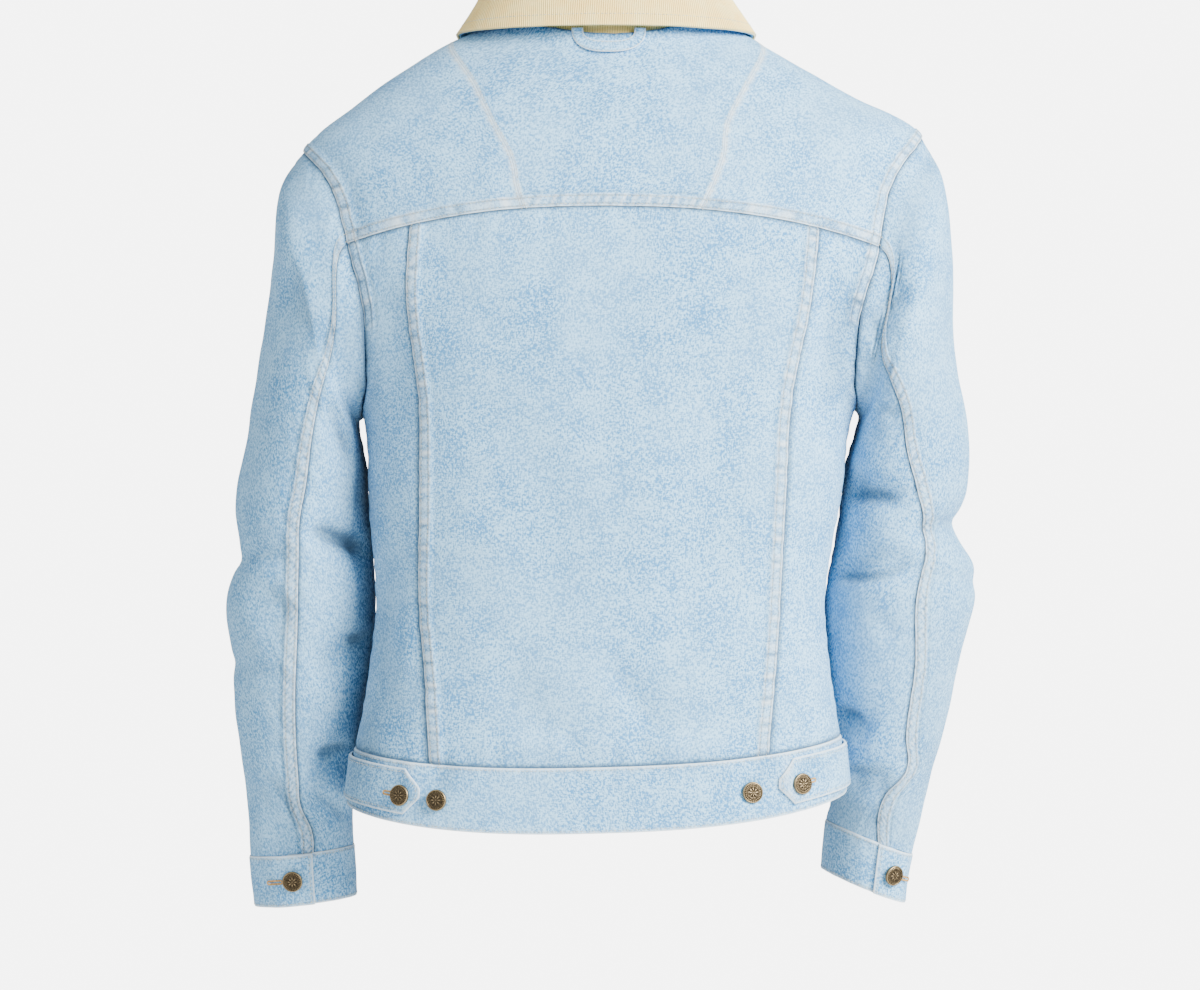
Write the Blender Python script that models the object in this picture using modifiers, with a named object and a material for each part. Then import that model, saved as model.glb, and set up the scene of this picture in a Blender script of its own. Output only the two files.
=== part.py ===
"""A light-wash denim jacket with a corduroy collar, held in the shape that it has when worn.

Each piece that a maker would cut is one object: yoke, back, fronts, sleeves, cuffs, waistband, tabs,
collar, placket, hanger loop and buttons. The wearer faces -Y, +X is the wearer's left and +Z is up.
The origin is the middle of the neck opening, level with the back neck seam. Units are metres.
"""

import math
from typing import NamedTuple

import bmesh
import bpy
import numpy as np
from mathutils import Matrix, Vector

# ---------------------------------------------------------------- driving sizes

DENIM = 0.0015            # wall of one layer of denim
BAND_WALL = 0.0030        # waistband and cuffs are folded double
CORDUROY = 0.0020         # wall of the top collar
SEAM_GAP = 0.0003         # between two pieces that are sewn together
ARMHOLE_GAP = 0.0004      # kept by the sleeve from the curved armhole edge
LAP_WIDTH = 0.0095        # a flat-felled seam's band
LAP_RISE = 0.0010         # how far the band stands above the cloth beside it
LAP_STEP = 0.0012         # over which the band falls back to the cloth

BUTTON_RADIUS = 0.0085
BUTTON_HEIGHT = 0.0030
SHANK_RADIUS = 0.0040
SHANK_HEIGHT = 0.0016

LEFT, RIGHT = 1, -1
SIDE_NAME = {LEFT: "left", RIGHT: "right"}


class TorsoRow(NamedTuple):
    """One level ring of the body: an oval with its own height at the back, side and front."""

    name: str
    z_back: float
    z_side: float
    z_front: float
    half_width: float
    y_mid: float
    back: float
    front: float
    square: float
    shift: float
    tilt: float


TORSO_ROWS = [
    #        name      z_back  z_side  z_front half_w  y_mid   back   front  square  shift   tilt
    TorsoRow("hem",    -0.632, -0.610, -0.632, 0.2010, 0.010, 0.101, 0.125, 2.50,  0.008,  0.026),
    TorsoRow("band",   -0.580, -0.565, -0.582, 0.1950, 0.010, 0.100, 0.126, 2.50,  0.007,  0.026),
    TorsoRow("low",    -0.520, -0.515, -0.520, 0.1870, 0.013, 0.097, 0.130, 2.50,  0.006,  0.026),
    TorsoRow("waist",  -0.455, -0.455, -0.455, 0.1815, 0.015, 0.093, 0.133, 2.45,  0.0055, 0.026),
    TorsoRow("rib",    -0.365, -0.370, -0.370, 0.1905, 0.015, 0.098, 0.138, 2.40,  0.001,  0.026),
    TorsoRow("armpit", -0.285, -0.300, -0.300, 0.1990, 0.010, 0.106, 0.138, 2.40, -0.002,  0.020),
    TorsoRow("blade",  -0.200, -0.243, -0.235, 0.2330, 0.004, 0.114, 0.132, 2.35, -0.004,  0.004),
    TorsoRow("yoke",   -0.141, -0.189, -0.176, 0.2560, 0.000, 0.116, 0.120, 2.30, -0.005, -0.006),
    TorsoRow("upper",  -0.122, -0.134, -0.142, 0.2560, 0.000, 0.113, 0.111, 2.20, -0.005,  0.012),
    TorsoRow("tip",    -0.104, -0.083, -0.118, 0.2500, 0.000, 0.108, 0.101, 2.10, -0.005,  0.025),
    TorsoRow("slope",  -0.078, -0.047, -0.104, 0.2000, 0.000, 0.100, 0.094, 2.10,  0.003,  0.016),
    TorsoRow("ridge",  -0.047, -0.014, -0.091, 0.1480, 0.000, 0.088, 0.086, 2.05,  0.003,  0.006),
    TorsoRow("neck",    0.000,  0.021, -0.074, 0.0850, 0.000, 0.066, 0.075, 2.00, -0.002,  0.000),
]


class SleeveRow(NamedTuple):
    """One ring of a sleeve, given by its outermost and innermost points and its depth."""

    name: str
    x_out: float
    z_out: float
    x_in: float
    z_in: float
    y_mid: float
    half_depth: float


SLEEVE_ROWS = {
    LEFT: [
        #         name         x_out   z_out   x_in    z_in    y_mid   half_depth
        SleeveRow("cap",       0.2635, -0.118, 0.2010, -0.309,  0.002, 0.0800),
        SleeveRow("deltoid",   0.2700, -0.178, 0.1990, -0.325, -0.002, 0.0800),
        SleeveRow("bicep",     0.2800, -0.240, 0.1945, -0.346, -0.008, 0.0780),
        SleeveRow("arm",       0.2910, -0.312, 0.1930, -0.373, -0.014, 0.0740),
        SleeveRow("fold_high", 0.3030, -0.378, 0.1905, -0.408, -0.018, 0.0700),
        SleeveRow("fold",      0.3000, -0.410, 0.1893, -0.428, -0.020, 0.0670),
        SleeveRow("elbow",     0.3100, -0.448, 0.1880, -0.458, -0.022, 0.0650),
        SleeveRow("forearm",   0.3055, -0.505, 0.1935, -0.510, -0.030, 0.0600),
        SleeveRow("low",       0.3025, -0.568, 0.2030, -0.570, -0.041, 0.0530),
        SleeveRow("wrist",     0.2955, -0.620, 0.2080, -0.618, -0.050, 0.0470),
        SleeveRow("cuff_top",  0.2935, -0.664, 0.2085, -0.655, -0.056, 0.0430),
        SleeveRow("cuff_end",  0.2900, -0.706, 0.2070, -0.697, -0.059, 0.0415),
    ],
    RIGHT: [
        SleeveRow("cap",       0.2705, -0.109, 0.2048, -0.304,  0.002, 0.0800),
        SleeveRow("deltoid",   0.2795, -0.172, 0.2010, -0.320, -0.002, 0.0800),
        SleeveRow("bicep",     0.2815, -0.238, 0.1945, -0.342, -0.008, 0.0780),
        SleeveRow("arm",       0.2935, -0.310, 0.1912, -0.370, -0.014, 0.0740),
        SleeveRow("fold_high", 0.2940, -0.362, 0.1872, -0.402, -0.018, 0.0690),
        SleeveRow("fold",      0.2850, -0.392, 0.1835, -0.420, -0.020, 0.0665),
        SleeveRow("elbow",     0.3000, -0.425, 0.1790, -0.448, -0.024, 0.0650),
        SleeveRow("forearm",   0.2905, -0.500, 0.1800, -0.508, -0.034, 0.0600),
        SleeveRow("low",       0.2755, -0.568, 0.1840, -0.568, -0.048, 0.0530),
        SleeveRow("wrist",     0.2625, -0.620, 0.1870, -0.612, -0.060, 0.0490),
        SleeveRow("cuff_top",  0.2530, -0.664, 0.1830, -0.636, -0.070, 0.0450),
        SleeveRow("cuff_end",  0.2475, -0.705, 0.1790, -0.677, -0.076, 0.0435),
    ],
}


class ArmholePoint(NamedTuple):
    """A point of the armhole seam: its angle round the body and where it lies between two rings."""

    name: str
    angle: float
    lower_ring: str
    upper_ring: str
    share: float


ARMHOLE = [
    #            name           angle  lower     upper     share
    ArmholePoint("tip",          90.0, "upper",  "tip",    1.00),
    ArmholePoint("back_high",    76.5, "upper",  "tip",    0.45),
    ArmholePoint("yoke_corner",  70.5, "blade",  "yoke",   1.00),
    ArmholePoint("back_low",     71.5, "armpit", "blade",  0.75),
    ArmholePoint("under_back",   79.0, "armpit", "blade",  0.18),
    ArmholePoint("armpit",       91.0, "armpit", "blade",  0.00),
    ArmholePoint("under_front", 103.0, "armpit", "blade",  0.16),
    ArmholePoint("front_low",   112.0, "armpit", "blade",  0.75),
    ArmholePoint("front_mid",   113.0, "blade",  "yoke",   1.00),
    ArmholePoint("front_high",  104.5, "upper",  "tip",    0.40),
]


class SeamPoint(NamedTuple):
    """Where an up-and-down seam of the body crosses a ring: its x at the wearer's left and right."""

    ring: str
    left: float
    right: float


BACK_SEAM = [
    SeamPoint("band",   0.140, 0.127),
    SeamPoint("low",    0.143, 0.132),
    SeamPoint("waist",  0.149, 0.137),
    SeamPoint("rib",    0.148, 0.141),
    SeamPoint("armpit", 0.149, 0.146),
    SeamPoint("blade",  0.158, 0.161),
    SeamPoint("yoke",   0.155, 0.167),
]


class SeenPoint(NamedTuple):
    """A place on a seam that is seen from behind: its height and its x at the left and the right."""

    z_left: float
    x_left: float
    z_right: float
    x_right: float


YOKE_SEAM = [
    #         z_left  x_left  z_right x_right
    SeenPoint(-0.142, 0.065, -0.140, 0.073),
    SeenPoint(-0.082, 0.085, -0.082, 0.093),
    SeenPoint(-0.048, 0.102, -0.046, 0.108),
]
YOKE_SEAM_END = 0.14          # share of the shoulder seam, from the neck, at which a yoke seam ends
ARMPIT_ANGLE = 91.0           # of the side seam and the armhole's lowest point
SHOULDER_SEAM_ANGLE = 101.0   # at the neck and at the armhole, a little in front of the ridge
SHOULDER_GAP = 0.0014         # radians between the shoulder seam and the pieces on each side

SLEEVE_BACK_SEAM = [
    #         z_left  x_left  z_right x_right
    SeenPoint(-0.176, 0.2068, -0.172, 0.2171),
    SeenPoint(-0.197, 0.2100, -0.190, 0.2225),
    SeenPoint(-0.218, 0.2131, -0.210, 0.2230),
    SeenPoint(-0.243, 0.2161, -0.235, 0.2180),
    SeenPoint(-0.267, 0.2215, -0.250, 0.2180),
    SeenPoint(-0.291, 0.2283, -0.275, 0.2251),
    SeenPoint(-0.323, 0.2347, -0.302, 0.2345),
    SeenPoint(-0.358, 0.2395, -0.333, 0.2390),
    SeenPoint(-0.391, 0.2455, -0.362, 0.2473),
    SeenPoint(-0.417, 0.2463, -0.388, 0.2533),
    SeenPoint(-0.471, 0.2478, -0.419, 0.2550),
    SeenPoint(-0.534, 0.2511, -0.446, 0.2486),
    SeenPoint(-0.570, 0.2511, -0.505, 0.2482),
    SeenPoint(-0.598, 0.2499, -0.563, 0.2421),
    SeenPoint(-0.621, 0.2482, -0.592, 0.2428),
    SeenPoint(-0.638, 0.2408, -0.613, 0.2263),
    SeenPoint(-0.675, 0.2396, -0.664, 0.2220),
]
SLEEVE_UNDER_SHIFT = 14.0     # degrees that the seam towards the body turns to the front

BACK_ROWS = 17                # rows of faces from the waistband up to the yoke
SIDE_ARMHOLE_ROWS = 6         # of which so many run along the armhole
FRONT_ARMHOLE_ROWS = 10
FRONT_LEVEL_ROWS = 4          # rows above the armpit that stay level across the front
YOKE_ROWS = 7                 # rows of the yoke above its felled band
NECK_COLUMNS = 4              # of a front panel, along the neck beside the button strip
SHOULDER_COLUMNS = 3          # of the yoke's middle piece, along each shoulder seam
YOKE_SIDE_COLUMNS = 4
SLEEVE_ROWS_OF_FACES = 24
SLEEVE_BLEND = 0.080          # within which a sleeve's columns leave the body's rows


class CollarRow(NamedTuple):
    """One line of the collar, from the neck seam over the roll to the edge of the fall."""

    name: str
    half_width: float
    back: float
    front: float
    z_back: float
    z_side: float
    z_front: float
    end_angle: float
    shift: float


COLLAR_ROWS = [
    #         name      half_w   back    front   z_back  z_side  z_front  end    shift
    CollarRow("seam",   0.0803, 0.0615, 0.0706, -0.0030, 0.0190, -0.0765, 177.0, -0.0020),
    CollarRow("stand",  0.0790, 0.0600, 0.0690,  0.022,  0.041, -0.052, 176.5, -0.0010),
    CollarRow("inner",  0.0785, 0.0592, 0.0690,  0.038,  0.053, -0.038, 175.5,  0.0000),
    CollarRow("roll",   0.0850, 0.0650, 0.0740,  0.046,  0.060, -0.032, 173.0,  0.0010),
    CollarRow("outer",  0.0930, 0.0712, 0.0815,  0.039,  0.052, -0.038, 169.0,  0.0020),
    CollarRow("fall",   0.1060, 0.0755, 0.0970,  0.022,  0.030, -0.073, 160.0,  0.0015),
    CollarRow("edge",   0.1220, 0.0800, 0.1160,  0.005,  0.0062, -0.124, 150.0,  0.0005),
]
COLLAR_UNDER_ROW = 7          # the row of the collar at which the denim layer below its fall begins
COLLAR_UNDER_END = 0.992
COLLAR_UNDER_EDGE = 0.0008


class Fold(NamedTuple):
    """A soft trough or ridge on one face of the cloth, from (a0, z0) to (a1, z1).

    Along the back and front a is x, and along the outer and inner sides it is y. bend pushes the
    middle sideways. depth is negative in a trough.
    """

    part: str
    face: str
    a0: float
    z0: float
    a1: float
    z1: float
    bend: float
    width: float
    depth: float


LARGE_FOLDS = [
    #    part            face     a0      z0      a1      z1     bend   width   depth
    # hollows beside the shoulder blades, and the cloth that blouses over the waistband
    Fold("torso",        "back",  0.176, -0.200,  0.168, -0.330,  0.006, 0.016, -0.0050),
    Fold("torso",        "back", -0.176, -0.195, -0.172, -0.320,  0.004, 0.015, -0.0060),
    Fold("torso",        "back",  0.160, -0.390,  0.176, -0.545, -0.010, 0.015, -0.0045),
    Fold("torso",        "back", -0.085, -0.250, -0.060, -0.470,  0.012, 0.030, -0.0028),
    Fold("torso",        "back",  0.075, -0.300,  0.040, -0.480,  0.010, 0.028, -0.0022),
    Fold("torso",        "back",  0.002, -0.495, -0.036, -0.556,  0.006, 0.016, -0.0032),
    Fold("torso",        "back",  0.085, -0.500,  0.030, -0.562, -0.006, 0.018, -0.0028),
    Fold("torso",        "back",  0.120, -0.568, -0.120, -0.571,  0.006, 0.010,  0.0030),
    Fold("torso",        "front", 0.110, -0.200,  0.080, -0.400,  0.010, 0.028, -0.0035),
    Fold("torso",        "front",-0.110, -0.190, -0.075, -0.380,  0.012, 0.026, -0.0035),
    Fold("torso",        "front", 0.100, -0.440,  0.040, -0.555,  0.010, 0.024, -0.0035),
    Fold("torso",        "front",-0.095, -0.450, -0.045, -0.560, -0.010, 0.022, -0.0035),
    # left sleeve: a slanting fold below the shoulder and the slack at its inner bend
    Fold("sleeve_left",  "back",  0.262, -0.182,  0.238, -0.262, -0.004, 0.016, -0.0045),
    Fold("sleeve_left",  "back",  0.228, -0.290,  0.196, -0.345,  0.004, 0.014, -0.0055),
    Fold("sleeve_left",  "back",  0.240, -0.398,  0.188, -0.416,  0.003, 0.013, -0.0075),
    Fold("sleeve_left",  "back",  0.290, -0.442,  0.262, -0.480,  0.003, 0.014, -0.0040),
    Fold("sleeve_left",  "back",  0.236, -0.515,  0.194, -0.482,  0.004, 0.014, -0.0055),
    Fold("sleeve_left",  "back",  0.244, -0.598,  0.212, -0.577,  0.003, 0.014, -0.0060),
    Fold("sleeve_left",  "back",  0.290, -0.602,  0.262, -0.652,  0.004, 0.013, -0.0040),
    Fold("sleeve_left",  "front", 0.292, -0.360,  0.215, -0.430,  0.014, 0.015, -0.0060),
    Fold("sleeve_left",  "front", 0.296, -0.440,  0.210, -0.455, -0.012, 0.014, -0.0060),
    Fold("sleeve_left",  "front", 0.280, -0.540,  0.225, -0.590,  0.008, 0.014, -0.0045),
    # right sleeve: the deep crease below the yoke corner, and the folds of the bent elbow
    Fold("sleeve_right", "back", -0.232, -0.196, -0.206, -0.242,  0.002, 0.012, -0.0085),
    Fold("sleeve_right", "back", -0.240, -0.222, -0.214, -0.262,  0.002, 0.013,  0.0035),
    Fold("sleeve_right", "back", -0.236, -0.296, -0.200, -0.326,  0.004, 0.016, -0.0045),
    Fold("sleeve_right", "back", -0.244, -0.374, -0.184, -0.348,  0.006, 0.013, -0.0075),
    Fold("sleeve_right", "back", -0.252, -0.428, -0.180, -0.431, -0.009, 0.012, -0.0060),
    Fold("sleeve_right", "back", -0.216, -0.558, -0.184, -0.547,  0.003, 0.014, -0.0060),
    Fold("sleeve_right", "back", -0.232, -0.604, -0.196, -0.598,  0.003, 0.013, -0.0060),
    Fold("sleeve_right", "front",-0.285, -0.350, -0.205, -0.405,  0.012, 0.015, -0.0065),
    Fold("sleeve_right", "front",-0.285, -0.430, -0.200, -0.440, -0.012, 0.014, -0.0065),
    Fold("sleeve_right", "front",-0.262, -0.545, -0.205, -0.580,  0.008, 0.014, -0.0045),
]
FACE_AXES = {
    "back": (0, Vector((0.0, 1.0, 0.0))),
    "front": (0, Vector((0.0, -1.0, 0.0))),
    "outer": (1, None),
}

TAB_HEIGHT = 0.036
TAB_TIP_HEIGHT = 0.007
TAB_TIP_LENGTH = 0.012
TAB_WALL = 0.0020
TAB_ROOT_ANGLE = 95.0
TAB_MIDDLE = 0.52             # share of the waistband's height, from the hem
TAB_SLACK = 0.0030            # the buttoned tab stands off the band near its root
TAB_SLACK_ANGLE = 79.0
TAB_TIP_X = {LEFT: 0.147, RIGHT: 0.134}
WAIST_BUTTON_X = {LEFT: (0.161, 0.133), RIGHT: (0.151, 0.114)}
WAIST_BUTTON_HEIGHT = 0.45    # share of the waistband's height, from the hem

FRONT_EDGE_X = -0.0250          # where the two fronts meet, below the strip's free edge
PLACKET_MARKS = (0.0147, 0.0294, 0.0440)
PLACKET_WALL = 0.0020
FRONT_BUTTONS = 5
FRONT_BUTTON_X = -0.0030
WAISTBAND_UNDER_ANGLE = -188.0
WAISTBAND_OVER_ANGLE = 189.0
WAISTBAND_RISE_ANGLE = 162.0

CUFF_FLAP_ANGLE = {LEFT: 104.0, RIGHT: 82.0}
CUFF_OVERLAP = 26.0           # degrees
CUFF_BUTTON_BACK = 21.0       # degrees from the flap's edge to the button

LOOP_MIDDLE_X = -0.0015
LOOP_HALF_SPAN = 0.0250
LOOP_TOP = 0.0040
LOOP_DROP = 0.0155
LOOP_SQUARE = 2.6
LOOP_WIDTH = 0.0090
LOOP_WALL = 0.0015
LOOP_SLACK = 0.0022           # the middle of the loop hangs off the yoke
LOOP_SEAT = 0.0002


# ---------------------------------------------------------------- curves through tables


def smooth(knots, values, at):
    """Value of the smooth curve through (knots, values), the first axis of values, at each place."""
    knots, values = np.asarray(knots, float), np.asarray(values, float)
    step = np.diff(knots)
    shape = (-1,) + (1,) * (values.ndim - 1)
    slope = np.diff(values, axis=0) / step.reshape(shape)
    tangent = np.empty_like(values)
    tangent[0], tangent[-1] = slope[0], slope[-1]
    before, after = step[:-1].reshape(shape), step[1:].reshape(shape)
    tangent[1:-1] = (slope[:-1] * after + slope[1:] * before) / (before + after)
    at = np.clip(np.asarray(at, float), knots[0], knots[-1])
    i = np.clip(np.searchsorted(knots, at, side="right") - 1, 0, len(step) - 1)
    t = (at - knots[i]) / step[i]
    h = step[i]
    weights = [
        2 * t**3 - 3 * t**2 + 1,
        (t**3 - 2 * t**2 + t) * h,
        -2 * t**3 + 3 * t**2,
        (t**3 - t**2) * h,
    ]
    return weights, i, tangent


def through(knots, values, at):
    """smooth() applied to a table whose rows are plain numbers or vectors."""
    values = np.asarray(values, float)
    weights, i, tangent = smooth(knots, values, at)
    if values.ndim > 1:
        weights = [w[..., None] for w in weights]
    return (
        weights[0] * values[i]
        + weights[1] * tangent[i]
        + weights[2] * values[i + 1]
        + weights[3] * tangent[i + 1]
    )


def ease(low, high, at):
    """0 below low, 1 above high and smooth between them."""
    t = np.clip((at - low) / (high - low), 0.0, 1.0)
    return t * t * (3 - 2 * t)


def unit(vectors):
    return vectors / np.maximum(np.linalg.norm(vectors, axis=-1, keepdims=True), 1e-12)


def oval(angle, half_width, back, front, square):
    """Point of an oval at a polar angle from its back, as (x, y, how far it is towards back or front)."""
    s, c = np.sin(angle), np.cos(angle)
    depth = np.where(c >= 0, back, front)
    radius = ((np.abs(s) / half_width) ** square + (np.abs(c) / depth) ** square) ** (-1 / square)
    return radius * s, radius * c, (radius * c / depth) ** 2


def fold_offset(part, points, normals, folds):
    """How far the folds of this part push each point along its normal."""
    total = np.zeros(points.shape[:-1])
    for fold in folds:
        if fold.part != part:
            continue
        axis, facing = FACE_AXES[fold.face]
        if facing is None:
            facing = Vector((LEFT if part.endswith("left") else RIGHT, 0.0, 0.0))
        towards = ease(0.10, 0.55, normals @ np.array(facing))
        across, height = points[..., axis], points[..., 2]
        start, end = np.array([fold.a0, fold.z0]), np.array([fold.a1, fold.z1])
        run = end - start
        length = np.linalg.norm(run)
        along = ((across - start[0]) * run[0] + (height - start[1]) * run[1]) / length**2
        side = ((across - start[0]) * run[1] - (height - start[1]) * run[0]) / length
        side = side - fold.bend * (1 - (2 * along - 1) ** 2)
        ends = ease(-0.15, 0.30, along) * (1 - ease(0.70, 1.15, along))
        total += fold.depth * towards * ends * np.exp(-((side / fold.width) ** 2))
    return total


# ---------------------------------------------------------------- the two forms


class Form:
    """A curved sheet of cloth given by two parameters. Offsets are measured outwards from it."""

    part = ""
    side = LEFT

    def bare(self, a, b):
        raise NotImplementedError

    def bare_normal(self, a, b):
        """Outward normal, from neighbouring points."""
        da, db = 1e-3, 2e-4
        along_a = self.bare(a + da, b) - self.bare(a - da, b)
        along_b = self.bare(a, np.minimum(b + db, self.top)) - self.bare(a, np.maximum(b - db, 0.0))
        return unit(np.cross(along_b, along_a)) * self.turn

    def place(self, a, b, offset=0.0):
        """Points of the folded cloth, moved out by offset."""
        base = self.bare(a, b)
        normal = self.bare_normal(a, b)
        lift = fold_offset(self.part, base, normal, LARGE_FOLDS) + offset
        return base + normal * np.asarray(lift)[..., None]


class Torso(Form):
    """The body of the jacket. a is the angle from the middle of the back, b the height along it."""

    part = "torso"
    turn = 1

    def __init__(self):
        self.names = [row.name for row in TORSO_ROWS]
        self.columns = np.array([row[1:] for row in TORSO_ROWS])
        marks = np.array([0.0, math.pi / 2, math.pi])
        rings = [self.ring(marks, np.tile(row, (3, 1))) for row in self.columns]
        steps = [np.linalg.norm(q - p, axis=1).mean() for p, q in zip(rings, rings[1:])]
        self.knots = np.concatenate([[0.0], np.cumsum(steps)])
        self.top = self.knots[-1]

    @staticmethod
    def ring(angle, row):
        z_back, z_side, z_front, half_width, y_mid, back, front, square, shift, tilt = np.moveaxis(row, -1, 0)
        x, y, reach = oval(angle, half_width, back, front, square)
        z_end = np.where(np.cos(angle) >= 0, z_back, z_front)
        z = z_side + (z_end - z_side) * reach - tilt * x
        return np.stack([x + shift, y + y_mid, z], axis=-1)

    def height(self, name, upper=None, share=0.0):
        """The parameter b of a named ring, or of a place between two rings."""
        low = self.knots[self.names.index(name)]
        if upper is None:
            return low
        return low + share * (self.knots[self.names.index(upper)] - low)

    def bare(self, a, b):
        a, b = np.broadcast_arrays(np.asarray(a, float), np.asarray(b, float))
        return self.ring(a, through(self.knots, self.columns, b))

    def angle_at_x(self, x, b, face="back"):
        """The angle at which the back or front of the ring at b has this x."""
        x, b = np.broadcast_arrays(np.asarray(x, float), np.asarray(b, float))
        side = np.sign(x + 1e-12)
        low, high = np.zeros(x.shape), np.full(x.shape, math.pi / 2)
        for _ in range(40):
            middle = (low + high) / 2
            angle = side * (middle if face == "back" else math.pi - middle)
            short = np.abs(self.bare(angle, b)[..., 0]) < np.abs(x)
            low, high = np.where(short, middle, low), np.where(short, high, middle)
        return side * (low if face == "back" else math.pi - low)

    def seen_at(self, x, z):
        """The parameter pair of the place that is seen from behind at this x and z."""
        b = self.height("tip")
        for _ in range(30):
            b = np.clip(b, 0.0, self.top if abs(x) < 0.05 else self.height("slope", "ridge", 0.6))
            a = self.angle_at_x(x, b)
            here, above = self.bare(a, b), self.bare(a, b + 1e-4)
            b = b + 0.8 * (z - here[2]) * 1e-4 / (above[2] - here[2])
        return np.array([float(a), float(b)])


class Armhole:
    """The closed seam between body and sleeve, from the shoulder tip down its back and up its front."""

    def __init__(self, torso, side):
        heights = [torso.height(p.lower_ring, p.upper_ring, p.share) for p in ARMHOLE]
        control = np.array([[math.radians(p.angle), h] for p, h in zip(ARMHOLE, heights)])
        control = np.vstack([control[-2:], control, control[:3]])
        control[:, 0] *= side
        points = torso.bare(control[:, 0], control[:, 1])
        steps = np.linalg.norm(np.diff(points, axis=0), axis=1)
        knots = np.concatenate([[0.0], np.cumsum(steps)])
        at = np.linspace(knots[2], knots[2 + len(ARMHOLE)], 361)
        self.curve = through(knots, control, at)
        loop = torso.bare(self.curve[:, 0], self.curve[:, 1])
        self.run = np.concatenate([[0.0], np.cumsum(np.linalg.norm(np.diff(loop, axis=0), axis=1))])
        self.lengths = {p.name: float(np.interp(knots[2 + k], at, self.run)) for k, p in enumerate(ARMHOLE)}
        self.lowest = self.lengths["armpit"]

    def at_length(self, length):
        """(angle, height) on the body at this distance along the seam from the shoulder tip."""
        length = np.mod(length, self.run[-1])
        return np.stack([np.interp(length, self.run, self.curve[:, k]) for k in (0, 1)], axis=-1)

    def to_degrees(self, length):
        """Degrees round the sleeve: 0 at the shoulder tip, 180 at the armpit, negative at the front."""
        over = (self.run[-1] - self.lowest) / 180.0
        return np.where(length < 0, length / over, 180.0 * np.asarray(length) / self.lowest)

    def to_length(self, degrees):
        degrees = np.mod(degrees, 360.0)
        over = (self.run[-1] - self.lowest) / 180.0
        return np.where(degrees <= 180, degrees * self.lowest / 180, self.lowest + (degrees - 180) * over)

    def yoke_marks(self):
        """Distances of the yoke's rows along the seam, from the yoke's back corner over the tip."""
        start = self.lengths["yoke_corner"]
        end = self.lengths["front_high"] - self.run[-1]
        return start - spread(start - end, YOKE_ROWS, LAP_MARKS)

    def side_marks(self):
        """Distances of the side panel's rows, from the armpit up to the yoke's corner."""
        return np.linspace(self.lowest, self.lengths["yoke_corner"], SIDE_ARMHOLE_ROWS + 1)

    def front_marks(self):
        """Distances of the front panel's rows, from the armpit up to the shoulder seam."""
        return np.linspace(self.lowest, self.lengths["front_high"], FRONT_ARMHOLE_ROWS + 1)


class Sleeve(Form):
    """One sleeve. a is the angle in degrees from its outermost point over the back, b runs down it."""

    def __init__(self, torso, side):
        self.side = side
        self.turn = side
        self.part = "sleeve_" + SIDE_NAME[side]
        self.torso = torso
        self.armhole = Armhole(torso, side)
        self.rows = SLEEVE_ROWS[side]
        self.names = ["armhole"] + [row.name for row in self.rows]
        marks = np.array([0.0, 90.0, 180.0, 270.0])
        rings = self.rings(marks)
        steps = np.linalg.norm(np.diff(rings, axis=0), axis=2).mean(axis=1)
        self.knots = np.concatenate([[0.0], np.cumsum(steps)])
        self.top = self.knots[-1]

    def rings(self, degrees):
        """Points of every ring at these angles, the armhole first."""
        degrees = np.asarray(degrees, float)
        seam = self.armhole.at_length(self.armhole.to_length(degrees))
        found = [self.torso.bare(seam[..., 0], seam[..., 1])]
        turned = np.radians(degrees)
        c, s = np.cos(turned), np.sin(turned)
        for row in self.rows:
            x = self.side * ((row.x_out + row.x_in) / 2 + (row.x_out - row.x_in) / 2 * c)
            z = (row.z_out + row.z_in) / 2 + (row.z_out - row.z_in) / 2 * c
            found.append(np.stack([x, row.y_mid + row.half_depth * s, z], axis=-1))
        return np.array(found)

    def height(self, name, upper=None, share=0.0):
        low = self.knots[self.names.index(name)]
        if upper is None:
            return low
        return low + share * (self.knots[self.names.index(upper)] - low)

    def bare(self, a, b):
        a, b = np.broadcast_arrays(np.asarray(a, float), np.asarray(b, float))
        rings = self.rings(a.ravel())
        weights, i, _ = smooth(self.knots, np.zeros(len(self.knots)), b.ravel())
        step = np.diff(self.knots)[:, None, None]
        slope = np.diff(rings, axis=0) / step
        tangent = np.empty_like(rings)
        tangent[0], tangent[-1] = slope[0], slope[-1]
        tangent[1:-1] = (slope[:-1] * step[1:] + slope[1:] * step[:-1]) / (step[1:] + step[:-1])
        n = np.arange(a.size)
        w = [weight[:, None] for weight in weights]
        points = (
            w[0] * rings[i, n] + w[1] * tangent[i, n] + w[2] * rings[i + 1, n] + w[3] * tangent[i + 1, n]
        )
        return points.reshape(a.shape + (3,))

    def bare_normal(self, a, b):
        da, db = 0.05, 2e-4
        along_a = self.bare(a + da, b) - self.bare(a - da, b)
        along_b = self.bare(a, np.minimum(b + db, self.top)) - self.bare(a, np.maximum(b - db, 0.0))
        return unit(np.cross(along_b, along_a)) * self.turn

    def back_seam(self, b):
        """Angle of the long back seam at this height. It starts at the yoke's corner."""
        seen = SLEEVE_BACK_SEAM
        z = [p.z_left if self.side == LEFT else p.z_right for p in seen][::-1]
        x = [p.x_left if self.side == LEFT else p.x_right for p in seen][::-1]
        low, high = 20.0, 178.0
        for _ in range(30):
            middle = (low + high) / 2
            point = self.bare(middle, b)
            if self.side * point[0] > through(z, x, point[2]):
                low = middle
            else:
                high = middle
        start = float(self.armhole.to_degrees(self.armhole.lengths["yoke_corner"]))
        return start + (low - start) * float(ease(0.0, 0.02, b))

    def under_seam(self, b):
        """Angle of the long seam that faces the body."""
        return 180.0 + SLEEVE_UNDER_SHIFT * float(ease(0.0, self.height("arm"), b))


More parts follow.
